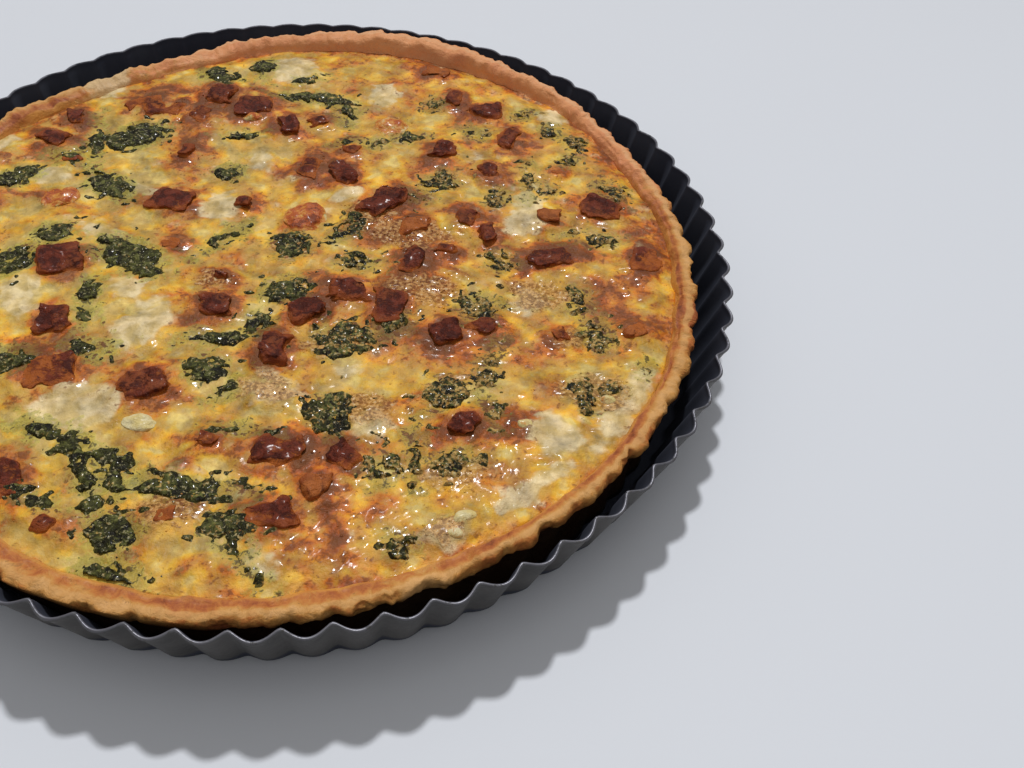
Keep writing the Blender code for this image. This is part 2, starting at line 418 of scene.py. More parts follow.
def fluteShape(angle):
    # 0 in a cusp, 1 on the crown of a flute
    wave = np.abs(np.sin(0.5 * flutes * angle))
    top = math.hypot(1.0, cuspSoftness) - cuspSoftness
    return (np.hypot(wave, cuspSoftness) - cuspSoftness) / top


# where the toppings are: x, y, length, width and turn in degrees
lardons, cheeseKnobs, spinachClumps = (
    [footprint(name) for name in names] for names in (lardonNames, cheeseNames, spinachNames))

baconBits = (
    (-74, 73, 9, 5, 60), (-58.5, 72, 9, 5, 80), (-39, -1, 6, 5, 0), (86, -29.5, 6, 5, 20),
    (-8, -80, 6, 6, 0), (-40, -109.5, 7, 4, -10), (-20, -15, 5, 4, 0), (-12, -104, 6, 4, 20),
    (-48, 47, 8, 4, 80), (-85, 38, 6, 4, 0), (-5, 72, 6, 5, 30), (75, -67, 5, 5, 0),
    (9, 56, 6, 5, 0), (83, 53, 6, 5, 40), (-21, 20, 5, 5, 0), (48, 6, 5, 4, 0),
    (-103, -12, 7, 5, 30), (-88, -52, 6, 5, 0), (-70, -84, 6, 4, 20), (-112, 34, 6, 5, 60),
)

spinachBits = (
    (-31, 38, 10, 9, 0), (-5, 87, 22, 7, -4), (-77, -1, 12, 9, 40), (-84, -15, 14, 10, 80),
    (1, -19, 14, 12, 0), (61, -19, 16, 11, 20), (36, -29, 12, 9, 70), (66, -40, 11, 6, 70),
    (64.5, -50, 12, 6, 88), (67, -60, 11, 6, 110), (40, -84, 12, 10, 80), (-24, -111, 11, 11, 0),
    (-20, -122, 16, 7, -10), (-52, -81, 12, 5, -15), (-42, -83, 12, 5, 0), (-33, -87, 12, 5, -35),
    (-28, -95, 10, 4, -60), (-15, -54, 12, 11, 0), (5, -106, 12, 9, 20), (15, 13, 19, 8, 70),
    (42, 41, 20, 10, 62), (103, 43, 14, 10, -35), (91, -12, 14, 6, 95), (-2, 2, 12, 11, 0),
    (-85, 40, 10, 6, 20), (-5, -33, 9, 8, 0), (54, -56, 15, 11, 80), (93, -50, 9, 7, 60),
    (100, -50, 8, 6, 0), (94, -58, 9, 4, 100), (60, -81, 14, 7, 20), (47, -107, 9, 6, 0),
    (35, 90, 9, 7, 60), (3, 80, 13, 6, 100), (18, 63, 14, 6, 30), (28, 67, 12, 6, 20),
    (50, 72, 10, 6, -20), (69, 87, 9, 6, 40), (79, 77, 9, 8, 0), (89, 70, 8, 6, 90),
    (86, 59, 9, 6, 30), (72, 55, 7, 6, 0), (73, 43, 13, 5, 100), (79, 41, 8, 5, 0),
    (62, 34, 11, 6, 50), (98, 17, 12, 6, 0), (88, 20, 8, 4, 40), (66, 3, 10, 9, 0),
    (-32, 60, 9, 4, 0), (-52, 98, 11, 6, -10), (-44, 96, 8, 5, 0), (-33, 105, 10, 6, 95),
    (-80, 47, 16, 3, 100), (-24, 3, 14, 5, 50), (-57, -30, 16, 6, 100), (-50, -50, 10, 6, 0),
    (-71, -57, 10, 7, 0), (-18, -42, 12, 4, 10), (-8, -62, 8, 5, 60), (0, -75, 12, 3, 0),
    (-35, -95, 14, 4, 120), (-47, -102, 9, 4, -10), (8, -114, 14, 2.5, -45), (48, -76, 16, 3, 95),
    (113, -37, 7, 4, 60), (20, -4, 14, 8, 10), (6, 61, 6, 3, 20), (-14, 100, 8, 3, 30),
    (-101, 26, 12, 8, 40), (-111, -20, 14, 9, 100), (-90, -62, 14, 8, 20), (-77, -92, 13, 8, -30),
    (-117, -2, 9, 6, 80), (-104, -58, 9, 6, 130), (-92, -84, 10, 5, -40), (-63, -112, 9, 5, -20),
)

allBacon = lardons + list(baconBits)
leafClumps = spinachClumps + list(spinachBits)

palePools = (
    (-88, 86, 15, 17, 0), (-22, 105, 20, 18, 0), (15, 93, 14, 16, 0), (74, 28, 28, 13, 80),
    (-22, 48, 11, 16, 0), (-28, 20, 13, 15, 20), (-77, -30, 15, 24, 20), (-38, -38, 15, 21, 0),
    (-45, -72, 25, 18, 0), (75, -15, 12, 12, 0), (86, -68, 17, 17, 30), (60, -101, 16, 10, 30),
    (5, -60, 17, 13, 0), (25, -50, 12, 9, 0), (-47, -24, 12, 9, 0), (-88, 28, 13, 11, 0),
    (80, 88, 12, 13, 0), (108, -50, 10, 16, -20), (-65, 3, 16, 7, -25), (34, -70, 12, 13, 0),
    (14, -116, 10, 6, -50), (-110, -44, 16, 12, 20), (-112, 45, 12, 10, 0), (-72, -102, 14, 9, 0),
    (103, -60, 36, 10, 62), (80, -88, 30, 7, 42), (12, 30, 12, 9, 30), (-58, 26, 12, 9, 0),
)

brownPools = (
    (22, -84, 34, 26, 20), (24, -110, 34, 14, 12), (-27, -70, 12, 9, 0), (40, 52, 22, 16, 0),
    (-48, 50, 18, 14, 0), (56, -36, 40, 22, -20), (35, -5, 40, 20, 0), (86, -42, 18, 14, 0),
    (73, -68, 22, 18, 0), (102, -8, 22, 34, 0), (24, 15, 30, 18, 60), (50, -64, 18, 14, 0),
    (-10, 112, 20, 12, 0), (12, 100, 22, 12, 0), (-66, 80, 30, 14, -20), (-25, -18, 16, 12, 0),
    (4, -44, 18, 14, 0), (84, 8, 26, 16, 20), (-90, 55, 20, 12, 0), (-82, 17, 16, 14, 0),
    (-56, -57, 20, 16, 0), (12, -20, 26, 22, 0), (30, -98, 30, 16, 0), (-46, 80, 26, 20, 0),
    (0, 15, 17, 16, 0), (70, 66, 20, 12, 60), (-18, -80, 16, 9, 0), (0, 45, 22, 18, 0),
    (44, -112, 26, 12, 25),
)

foamPatches = (
    (32, -64, 18, 16, 0), (54, -56, 16, 14, 0), (20, -40, 20, 14, 0), (-2, 2, 16, 13, 0),
    (60, -84, 20, 10, 10), (60, -100, 18, 10, 20), (78, -12, 22, 16, 0), (20, 20, 16, 20, 60),
    (5, -60, 18, 12, 0), (-12, -102, 20, 9, 0), (88, -30, 10, 10, 0), (36, 12, 26, 16, 0),
    (96, -50, 22, 16, 0), (45, -14, 26, 14, 0), (22, 74, 14, 12, 0), (-22, -16, 14, 8, 0),
)


# custard: the set filling, level but lumpy, that rises a little against everything in it
custardLook = {
    "gridSteps": 312,
    "wave": 0.5,            # the slow wave of the whole top
    "waveLengths": (120.0, 145.0, 195.0),
    "edgeDip": 1.0,
    "edgeWidth": 9.0,
    "lumps": 0.5,
    "ripples": 0.34,
    "pimples": 0.2,
    "cling": 0.7,           # how far the custard climbs a lardon's side
    "foot": 4.9,
    # the colours it goes through as it bakes, pale first
    "baking": (
        (0.00, paint(213, 186, 106)), (0.10, paint(216, 174, 66)), (0.24, paint(215, 160, 44)),
        (0.37, paint(203, 137, 38)), (0.50, paint(196, 113, 33)), (0.64, paint(172, 86, 29)),
        (0.80, paint(136, 66, 28)), (1.00, paint(88, 42, 20)),
    ),
}
custardLevel = fillingTop - 0.9 * custardLook["wave"]


def custardRadius(angle):
    return roundRing(0, angle) - custardReach * innerReach(angle) + 0.7


def toEdge(points):
    # millimetres in from the custard's edge
    return custardRadius(np.arctan2(points[:, 1], points[:, 0])) - np.hypot(points[:, 0], points[:, 1])


def custardHeight(points):
    # height of the custard's top in millimetres at x, y
    look = custardLook
    across, along, aslant = (math.tau / length for length in look["waveLengths"])
    x, y = points[:, 0], points[:, 1]
    wave = np.sin(across * x + 0.6) * np.cos(along * y) + 0.6 * np.sin(aslant * (x - 1.7 * y) + 2.0)
    height = custardLevel + look["wave"] * wave / 1.6
    height -= look["edgeDip"] * smoothStep(-toEdge(points), -look["edgeWidth"], 0.0)
    height += look["lumps"] * layered(points, 13.0, 5, 2)
    height += look["ripples"] * layered(points, 4.2, 9, 3)
    rough = 0.5 + smoothStep(softNoise(points, 17.0, 19), -0.4, 0.5)
    height += look["pimples"] * layered(points, 1.9, 15, 2) * rough
    height += 0.5 * smoothStep(depthInside(points, palePools) + 3.0 * softNoise(points, 6.0, 3), -4.0, 4.0)
    beside = depthInside(points, allBacon)
    height += look["cling"] * np.exp(-np.square(np.minimum(beside + 0.6, 0.0) / 1.9))
    foam = smoothStep(depthInside(points, foamPatches), -3.0, 3.0)
    height += 0.26 * foam * np.abs(softNoise(points, 1.3, 77))
    return height


def levelAt(x, y):
    return custardHeight(np.array([[x, y]], dtype=float))[0]


def discGrid(steps):
    # a square grid pressed into a round one, row by row, so that all its cells stay about the same size
    side = np.linspace(-1.0, 1.0, steps + 1)
    u, v = np.meshgrid(side, side)
    radius = np.maximum(np.abs(u), np.abs(v))
    wide = np.abs(u) >= np.abs(v)
    safeU = np.where(u == 0.0, 1.0, u)
    safeV = np.where(v == 0.0, 1.0, v)
    angle = np.where(wide, 0.25 * math.pi * v / safeU, 0.5 * math.pi - 0.25 * math.pi * u / safeV)
    angle = np.where(np.where(wide, u, v) < 0.0, angle + math.pi, angle)
    return radius.ravel(), angle.ravel()


def custardMarks(points):
    # how baked, cheesy, green and foamy the custard is at each point, 0 to 1
    x, y = points[:, 0], points[:, 1]
    places = warped(points, 8.0, 3.5, 37)
    swirl = layered(places, 11.0, 41, 3, 0.65)
    fine = layered(places, 4.0, 43, 3, 0.7)
    beside = depthInside(points, allBacon)
    pools = depthInside(points, brownPools)
    far = smoothStep(y + 0.4 * x, 20.0, 90.0)
    baked = 0.20 + 0.26 * smoothStep(pools + 6.0 * swirl + 3.0 * fine, -6.0, 6.0)
    baked += 0.18 * smoothStep(beside + 4.0 * swirl + 2.0 * fine, -7.5, -1.0)
    baked += 0.21 * smoothStep(beside + 2.0 * fine, -3.4, 0.3)
    baked += 0.05 * smoothStep(x + 0.2 * y + 40.0 * swirl, -50.0, 50.0)
    baked += 0.25 * swirl + 0.14 * fine
    baked += (0.16 + 0.14 * far) * smoothStep(2.5 * fine - toEdge(points), -4.5, 0.0)
    cheesy = smoothStep(depthInside(points, palePools) + 4.5 * swirl + 3.0 * fine, -4.0, 5.0)
    leaves = depthInside(points, leafClumps)
    leafy = smoothStep(leaves + 3.0 * swirl + 3.5 * fine, -7.0, 1.5)
    foam = smoothStep(depthInside(points, foamPatches) + 3.5 * swirl + 2.5 * fine, -3.5, 3.5)
    green = smoothStep(-x + 45.0 * swirl, -35.0, 70.0) * (0.75 + 0.25 * leafy)
    baked = np.clip(baked, 0.0, 1.2)
    return {"baked": baked, "cheesy": cheesy, "leafy": leafy, "foamy": foam, "green": green}


def custardFinish():
    material, graph, place = newFinish("setCustard", {
        "Coat Roughness": 0.12, "IOR": 1.4, "Specular IOR Level": 0.3})
    baked, cheesy, leafy, foamy, green = graph.marks("baked", "cheesy", "leafy", "foamy", "green")
    clouds = graph.noise(place, 0.0105, 4.0, 0.45, 0.5)
    drifts = graph.noise(graph.moved(place, 2.9), 0.010, 3.0, 0.5, 0.6)
    mottle = graph.noise(graph.moved(place, 5.7), 0.0048, 4.0, 0.5, 0.3)
    specks = graph.noise(graph.moved(place, 8.3), 0.0019, 3.0, 0.62, 0.3)
    paintedShadeField = graph.noise(graph.moved(place, 3.7), 0.0065, 5.0, 0.6, 0.4)
    grain = graph.noise(place, 0.0008, 3.0, 0.65)
    dots = graph.noise(graph.moved(place, 4.4), 0.0011, 2.0, 0.5)
    paintedLumpShading = graph.noise(graph.moved(place, 6.6), 0.0070, 3.0, 0.55, 0.3)
    blister = graph.cells(graph.moved(place, 1.1), 0.0013)

    heat = baked + 1.4 * (clouds - 0.5) + 0.6 * (mottle - 0.5) + 0.14 * (specks - 0.5)
    colour = graph.ramp(heat, custardLook["baking"])
    # painted shade and sheen: a duller khaki tone over much of the custard, for the shading of its wrinkles
    # and the grey of its sheen
    paintedShadeTone = graph.mix(green, paint(172, 128, 68), paint(176, 149, 84))
    covered = (0.55 + 0.18 * green) * (1.0 - 0.7 * graph.step(heat, 0.40, 0.54))
    cream = graph.twoTone(mottle, 0.34, 0.64, (191, 166, 108), (222, 202, 156))
    melted = graph.math("MAXIMUM", cheesy, 1.6 * drifts - 0.66 - 0.15 * baked - 0.08 * green)
    colour = graph.coats(
        colour, (paintedShadeTone, paintedShadeField + 0.02 * green, 0.39, 0.59, covered),
        (cream, melted + (clouds - 0.5) + 0.6 * (mottle - 0.5), 0.30, 0.70, 0.9))
    # painted shade and light: the colour darkened and lightened in lumps of about 7 mm, as shading from the
    # relief
    colour = graph.mix(1.0, colour, 1.7 * paintedLumpShading + 0.5 * specks - 0.135, "MULTIPLY")
    leaf = graph.twoTone(specks, 0.40, 0.60, (124, 122, 48), (186, 173, 78))
    stain = leafy + 0.12 * green + 1.2 * (mottle - 0.5) + 1.6 * (specks - 0.5)
    froth = graph.twoTone(dots + 0.5 * (mottle - 0.5), 0.42, 0.58, (126, 76, 40), (200, 150, 88))
    froth = graph.coats(froth, ((226, 202, 162), dots + 0.4 * (grain - 0.5), 0.60, 0.68, 0.7))
    colour = graph.coats(
        colour, (leaf, stain, 0.56, 0.92, 0.50 + 0.25 * green),
        ((58, 54, 26), 0.32 * leafy + specks, 0.80, 0.92, 0.85),
        ((112, 62, 26), 0.36 * heat + specks - 0.14 * cheesy, 0.65, 0.84, 0.75),
        (froth, foamy + 1.2 * (specks - 0.5) + 1.4 * (mottle - 0.5), 0.40, 1.0, 0.75))
    glints = graph.step(grain + 0.5 * (specks - 0.5), 0.56, 0.64) * (0.1 + 0.5 * baked + 0.4 * foamy)
    busy = 0.5 + 1.0 * foamy + 0.5 * baked
    relief = 0.0006 * mottle + busy * (0.0004 * specks + 0.0003 * grain - 0.00014 * blister)
    relief = relief + 0.0003 * foamy * dots
    graph.surface(colour, 0.46 + 0.5 * (specks - 0.5), graph.math("ADD", glints, 0.03, clamp=True), relief)
    return material


def makeCustard():
    steps = custardLook["gridSteps"]
    radius, angle = discGrid(steps)
    reach = radius * custardRadius(angle)
    flat = polar(reach, angle)
    top = np.column_stack((flat, custardHeight(flat)))
    faces = gridFaces(steps, steps)
    rim = gridRim(steps, steps)
    count = len(rim)
    under = top[rim] * (0.975, 0.975, 1.0)
    under[:, 2] = custardLook["foot"]
    first = len(top)
    points = np.vstack((top, under, [[0.0, 0.0, custardLook["foot"]]]))
    for i in range(count):
        following = (i + 1) % count
        faces.append((rim[following], rim[i], first + i, first + following))
    faces += fanFaces([first + i for i in range(count)], first + count, turned=True)
    custard = meshFrom("custard", points, faces, custardMarks(points[:, :2]))
    putOn(custard, custardFinish(), "custard", "filling")
    return custard


# pastry case: a thin wall that shrank from the tin, ragged at its lip and browned on its slope
pastryLook = {
    "steps": 1296,
    "between": 4,           # rows between two points of the section
    "waveDepth": 1.3,
    "lumps": 1.1,
    "crumble": 0.6,
    "ragged": 1.0,
    "teeth": 0.8,
    "wavyEdge": 1.2,        # how far the line where the custard ends wanders
    "floor": 4.6,
    "foot": 1.1,
    "widestFoot": 126.8,
    "ringRadius": 128.0,    # where the noise along the lip is read
    # the colours it goes through as it bakes, pale first
    "baking": (
        (0.00, paint(206, 156, 96)), (0.25, paint(192, 137, 70)), (0.50, paint(182, 112, 54)),
        (0.75, paint(156, 84, 44)), (1.00, paint(110, 58, 34)),
    ),
}


def pastrySection(top):
    # offset from the crest, and height, from the inner foot over the lip to the outer foot
    level = custardLevel
    return (
        (-6.4, pastryLook["floor"]), (-5.6, level - 4.0), (-4.9, level - 1.5), (-4.2, level - 0.1),
        (-3.3, 0.55 * level + 0.45 * top), (-2.0, top - 0.8), (-0.3, top - 0.2), (1.0, top),
        (2.3, top - 0.6), (2.8, top - 2.0), (2.3, top - 4.0), (0.8, top - 6.0), (-0.9, top - 7.6),
        (-1.3, 12.0), (-1.6, pastryLook["foot"]),
    )


def throughPoints(values, between):
    # a smooth (Catmull-Rom) run through the values along the first axis
    padded = np.concatenate(([2 * values[0] - values[1]], values, [2 * values[-1] - values[-2]]))
    rows = []
    for i in range(1, len(padded) - 2):
        a, b, c, d = padded[i - 1:i + 3]
        for t in np.arange(between) / between:
            rows.append(0.5 * (2 * b + (c - a) * t + (2 * a - 5 * b + 4 * c - d) * t ** 2
                               + (3 * b - a - 3 * c + d) * t ** 3))
    rows.append(values[-1])
    return np.array(rows)


def pastryFinish():
    material, graph, place = newFinish("bakedPastry", {"Coat Roughness": 0.35, "Specular IOR Level": 0.3})
    slope, browned, rosy, crest, cheesy = graph.marks("slope", "browned", "rosy", "crest", "cheesy")
    broad = graph.noise(place, 0.014, 4.0, 0.6, 0.6)
    mottle = graph.noise(graph.moved(place, 1.3), 0.0042, 5.0, 0.68, 0.6)
    grain = graph.noise(place, 0.0011, 3.0, 0.7)
    heat = browned + 1.1 * (broad - 0.5) + 1.2 * (mottle - 0.5) + 0.3 * (grain - 0.5)
    # painted highlight: the crest of the lip paler than the rest
    crestHighlight = graph.mix(rosy, paint(202, 152, 92), paint(212, 162, 118))
    washed = graph.mix(rosy, paint(206, 144, 62), paint(204, 136, 74))   # brushed by the custard
    colour = graph.coats(
        graph.ramp(heat, pastryLook["baking"]),
        ((110, 66, 38), 1.0 - mottle + 0.4 * (grain - 0.5), 0.61, 0.69, 0.4),
        # painted light and a pinker tone: the far side lighter
        ((222, 150, 104), rosy + 1.4 * (mottle - 0.5), 0.2, 0.9, 0.7),
        (crestHighlight, crest + 1.6 * (broad - 0.5), 0.6, 1.1, 0.7),
        (washed, graph.step(slope, 0.42, 0.28) + 1.6 * (broad - 0.5) - 0.5 * rosy, 0.8, 1.2, 0.75),
        ((206, 178, 132), cheesy + 1.8 * (mottle - 0.5), 0.4, 0.9, 0.8),
        # painted shade: the outer side below the lip goes near black, where it lies in shade in the gap to
        # the tin
        ((34, 24, 22), slope, 0.66, 0.82, 0.92))
    relief = 0.0009 * mottle + 0.0002 * grain
    graph.surface(colour, 0.62 + 0.4 * (mottle - 0.5), 0.15 * graph.step(slope, 0.5, 0.15), relief)
    return material


def makePastry():
    look = pastryLook
    steps = look["steps"]
    angle = np.arange(steps) / steps * math.tau
    radius, top = roundRing(0, angle), roundRing(1, angle)
    ringPlaces = polar(np.ones(steps), angle) * look["ringRadius"]
    top = top + look["ragged"] * layered(ringPlaces, 7.0, 11, 3)
    top = top + look["teeth"] * layered(ringPlaces, 2.8, 12, 2, 0.7) + lipSpread(angle, (lipRise,))
    section = np.array([pastrySection(height) for height in top]).transpose(1, 0, 2)
    innerSide = np.arange(len(section))[:, None] < 6
    section[:, :, 0] *= np.where(innerSide, innerReach(angle), 1.0)
    section = throughPoints(section, look["between"])
    rows = len(section)
    slope = np.linspace(0.0, 1.0, rows)[:, None] * np.ones(steps)
    offset, height = section[:, :, 0], section[:, :, 1]
    outer = smoothStep(slope, 0.42, 0.62)
    uneven = 1.0 + 0.6 * layered(ringPlaces, 16.0, 13, 2)
    wave = fluteShape(angle)[None, :] - 0.75
    reach = radius + offset + (look["waveDepth"] * wave * uneven + lipSpread(angle)) * outer
    places = polar(reach, angle, height)
    lumps = look["lumps"] * layered(places, 8.0, 21, 2) + look["crumble"] * layered(places, 2.6, 23, 2)
    chips = smoothStep(softNoise(places, 5.0, 27) + 0.4 * softNoise(places, 1.8, 28), 0.25, 0.45)
    shown = smoothStep(height, custardLevel - 8.0, custardLevel - 1.0).ravel()
    push = (lumps - 0.7 * chips * smoothStep(slope.ravel(), 0.5, 0.62)) * (0.3 + 0.7 * shown)
    reach = reach + push.reshape(rows, steps) * (0.35 + 0.65 * outer)
    crestRows = smoothStep(slope, 0.36, 0.5) * smoothStep(-slope, -0.8, -0.66)
    reach = reach + look["teeth"] * layered(ringPlaces, 2.2, 14, 2, 0.7) * crestRows
    innerRows = smoothStep(slope, 0.10, 0.22) * smoothStep(-slope, -0.44, -0.32)
    reach = reach + look["wavyEdge"] * layered(ringPlaces, 9.0, 15, 3) * innerRows
    lift = look["lumps"] * 0.5 * layered(places, 6.0, 29, 3)
    height = height + (lift * shown).reshape(rows, steps) * smoothStep(slope, 0.12, 0.4)
    footLimit = look["widestFoot"] + (height - look["foot"]) * 0.28
    reach = np.where(slope > 0.5, np.minimum(reach, footLimit + 0.6), reach)
    height[0] = look["floor"]
    height[-1] = look["foot"]
    places = polar(reach, angle, height)
    count = len(places)
    faces = [face[::-1] for face in wrapFaces(rows, steps)]
    faces += fanFaces(list(range(steps)), count)
    faces += fanFaces([count - steps + step for step in range(steps)], count + 1, turned=True)
    points = np.vstack((places, [[0.0, 0.0, look["floor"]], [0.0, 0.0, look["foot"]]]))
    patches = layered(points, 14.0, 35, 3, 0.6)
    slopeMark = np.append(slope.ravel(), (0.0, 1.0))
    # the far side of the crust: pinker, and painted lighter and less browned on its inner slope, as painted
    # light on a side that faces away from the key light
    rosy = smoothStep(points[:, 1] + 0.25 * points[:, 0], 30.0, 115.0)
    # the crest, which is painted paler and less browned as a painted highlight
    crestMark = smoothStep(-np.abs(slopeMark - 0.50), -0.08, -0.02)
    innerSlope = smoothStep(-np.abs(slopeMark - 0.33), -0.12, -0.04)
    browned = 0.27 + 0.12 * smoothStep(points[:, 0], 80.0, 125.0) + 0.44 * patches
    browned += 0.26 * (1.0 - 0.8 * rosy) * innerSlope - 0.14 * crestMark
    cheesy = smoothStep(depthInside(points, palePools[:1]) + 5.0 * layered(points, 5.0, 36, 2), -6.0, 3.0)
    pastry = meshFrom("pastry", points, faces, {
        "slope": slopeMark, "browned": np.clip(browned, 0.0, 1.4), "cheesy": cheesy, "rosy": rosy,
        "crest": crestMark})
    putOn(pastry, pastryFinish(), "pastry", "pastry_case")


# tin: one pressed sheet turned round its axis, then fluted by Geometry Nodes
tinLook = {
    "stepsPerFlute": 16,
    "sheet": 0.8,
    "height": tinTop - 0.3,
    "rimRadius": 137.2,
    "footRadius": 129.2,
    "rimDepth": 2.7,
    "rimDip": 0.7,          # how far the edge dips on the crown of a flute
    "footDepth": 2.0,
    "footRound": 4.0,       # the flutes run out into the round foot over this height
    "innerRound": 1.4,      # of the sheet where the wall leaves the base
    "outerRound": 1.6,
    "wallRows": 12,
}


def namedInput(tree, name):
    for item in tree.interface.items_tree:
        if item.item_type == "SOCKET" and item.in_out == "INPUT" and item.name == name:
            return item.identifier
    raise KeyError(name)


def nodeShape(obj, tree, values):
    # runs a Geometry Nodes tree on an object and keeps the result as its plain mesh
    modifier = obj.modifiers.new(tree.name, "NODES")
    modifier.node_group = tree
    for name, value in values.items():
        modifier[namedInput(tree, name)] = value
    return bakeModifiers(obj)


def newTree(name, sockets):
    # an empty Geometry Nodes tree with named inputs, its graph, and its inputs as wires
    tree = bpy.data.node_groups.new(name, "GeometryNodeTree")
    tree.interface.new_socket("Geometry", in_out="OUTPUT", socket_type="NodeSocketGeometry")
    tree.interface.new_socket("Geometry", in_out="INPUT", socket_type="NodeSocketGeometry")
    for socket, kind in sockets.items():
        tree.interface.new_socket(socket, in_out="INPUT", socket_type=f"NodeSocket{kind}")
    graph = Graph(tree)
    source = tree.nodes.new("NodeGroupInput")
    wires = {output.name: Wire(graph, output) for output in source.outputs if output.name}
    return tree, graph, wires


def endTree(graph, geometry, material):
    # every tree ends in plain geometry that has its material
    plain = graph.add("GeometryNodeRealizeInstances", None, {"Geometry": geometry})
    plain = graph.add("GeometryNodeSetMaterial", None, {"Geometry": plain, "Material": material})
    graph.add("NodeGroupOutput", None, {"Geometry": plain})


def fluteTree():
    sizes = ("Flutes", "Height", "Rim radius", "Foot radius", "Rim depth", "Foot depth", "Rim dip",
             "Foot round", "Softness", "Sheet")
    sockets = {**dict.fromkeys(sizes, "Float"), "Material": "Material"}
    tree, graph, wires = newTree("flutedSheet", sockets)
    position = graph.add("GeometryNodeInputPosition")
    split = graph.add("ShaderNodeSeparateXYZ", None, {0: position}).socket.node
    x, y, z = (Wire(graph, output) for output in split.outputs)
    radius = graph.math("SQRT", x * x + y * y)
    angle = graph.math("ARCTAN2", y, x)
    soft = wires["Softness"]
    wave = graph.math("ABSOLUTE", graph.math("SINE", 0.5 * wires["Flutes"] * angle))
    flute = graph.math("SQRT", wave * wave + soft * soft) - soft
    flute = flute / (graph.math("SQRT", 1.0 + soft * soft) - soft)
    rise = graph.math("DIVIDE", z, wires["Height"], clamp=True)
    depth = wires["Foot depth"] + (wires["Rim depth"] - wires["Foot depth"]) * rise
    low = graph.math("DIVIDE", z, wires["Foot round"], clamp=True)
    runOut = graph.math("SQRT", 1.0 - (1.0 - low) * (1.0 - low))
    wall = graph.step(radius, 0.95 * wires["Foot radius"], 0.985 * wires["Foot radius"])
    grown = (radius + depth * flute * runOut * wall) / graph.math("MAXIMUM", radius, 0.0001)
    dip = wires["Rim dip"] * flute * rise * rise
    moved = graph.add("ShaderNodeCombineXYZ", None, {0: x * grown, 1: y * grown, 2: z - dip})
    leaning = wires["Foot radius"] + (wires["Rim radius"] - wires["Foot radius"]) * rise
    inside = graph.math("LESS_THAN", radius, leaning - 0.5 * wires["Sheet"])
    edge = graph.step(z, wires["Height"] - 0.0005, wires["Height"] - 0.0001)
    shape = wires["Geometry"]
    kept = {"data_type": "FLOAT", "domain": "POINT"}
    for name, value in (("inside", inside), ("edge", edge)):
        inputs = {"Geometry": shape, "Name": name, "Value": value}
        shape = graph.add("GeometryNodeStoreNamedAttribute", kept, inputs)
    shape = graph.add("GeometryNodeSetPosition", None, {"Geometry": shape, "Position": moved})
    endTree(graph, shape, wires["Material"])
    return tree


def tinFinish():
    material, graph, place = newFinish("darkTin", {"Specular IOR Level": 0.3})
    inside, edge = graph.marks("inside", "edge")
    cloud = graph.noise(place, 0.022, 3.0, 0.6)
    fine = graph.noise(place, 0.0012, 3.0, 0.7)
    scuffs = graph.noise(place, 0.004, 5.0, 0.75, 1.5)
    z = graph.add("ShaderNodeSeparateXYZ", None, {0: place}, output=2)
    # painted reflection: the outside is painted a lighter grey than the inside, though both are the same
    # dark coating, for the pale floor that it mirrors
    outer = graph.coats(
        graph.twoTone(cloud, 0.35, 0.65, (66, 65, 64), (81, 79, 77)),
        # the pale scuffs are wear; the dark tone is painted shade, darker towards the foot
        ((100, 100, 104), scuffs, 0.62, 0.7, 0.3), ((44, 44, 46), -1.0 * z, -0.007, -0.001, 0.8))
    inner = graph.twoTone(cloud, 0.35, 0.65, (44, 48, 60), (53, 57, 68))
    colour = graph.mix(inside, outer, inner)
    # lighter bare metal on the rim's edge where the coating is scuffed: partly wear, partly a painted
    # highlight along the rim
    wornAndGlint = edge * graph.step(scuffs + 0.4 * (fine - 0.5), 0.34, 0.5)
    colour = graph.mix(wornAndGlint * 0.6, colour, paint(118, 118, 126))
    metallic = material.node_tree.nodes["Principled BSDF"].inputs["Metallic"]
    graph.feed(metallic, graph.math("ADD", 0.25 * (1.0 - inside), 0.4 * wornAndGlint, clamp=True))
    roughness = 0.55 + 0.25 * (fine - 0.5) + 0.25 * inside - 0.2 * wornAndGlint
    graph.surface(colour, roughness, relief=0.00006 * fine, strength=0.5)
    return material


def arc(x, z, radius, first, last, steps):
    turns = [math.radians(first + (last - first) * i / steps) for i in range(steps + 1)]
    return [(x + radius * math.cos(turn), z + radius * math.sin(turn)) for turn in turns]


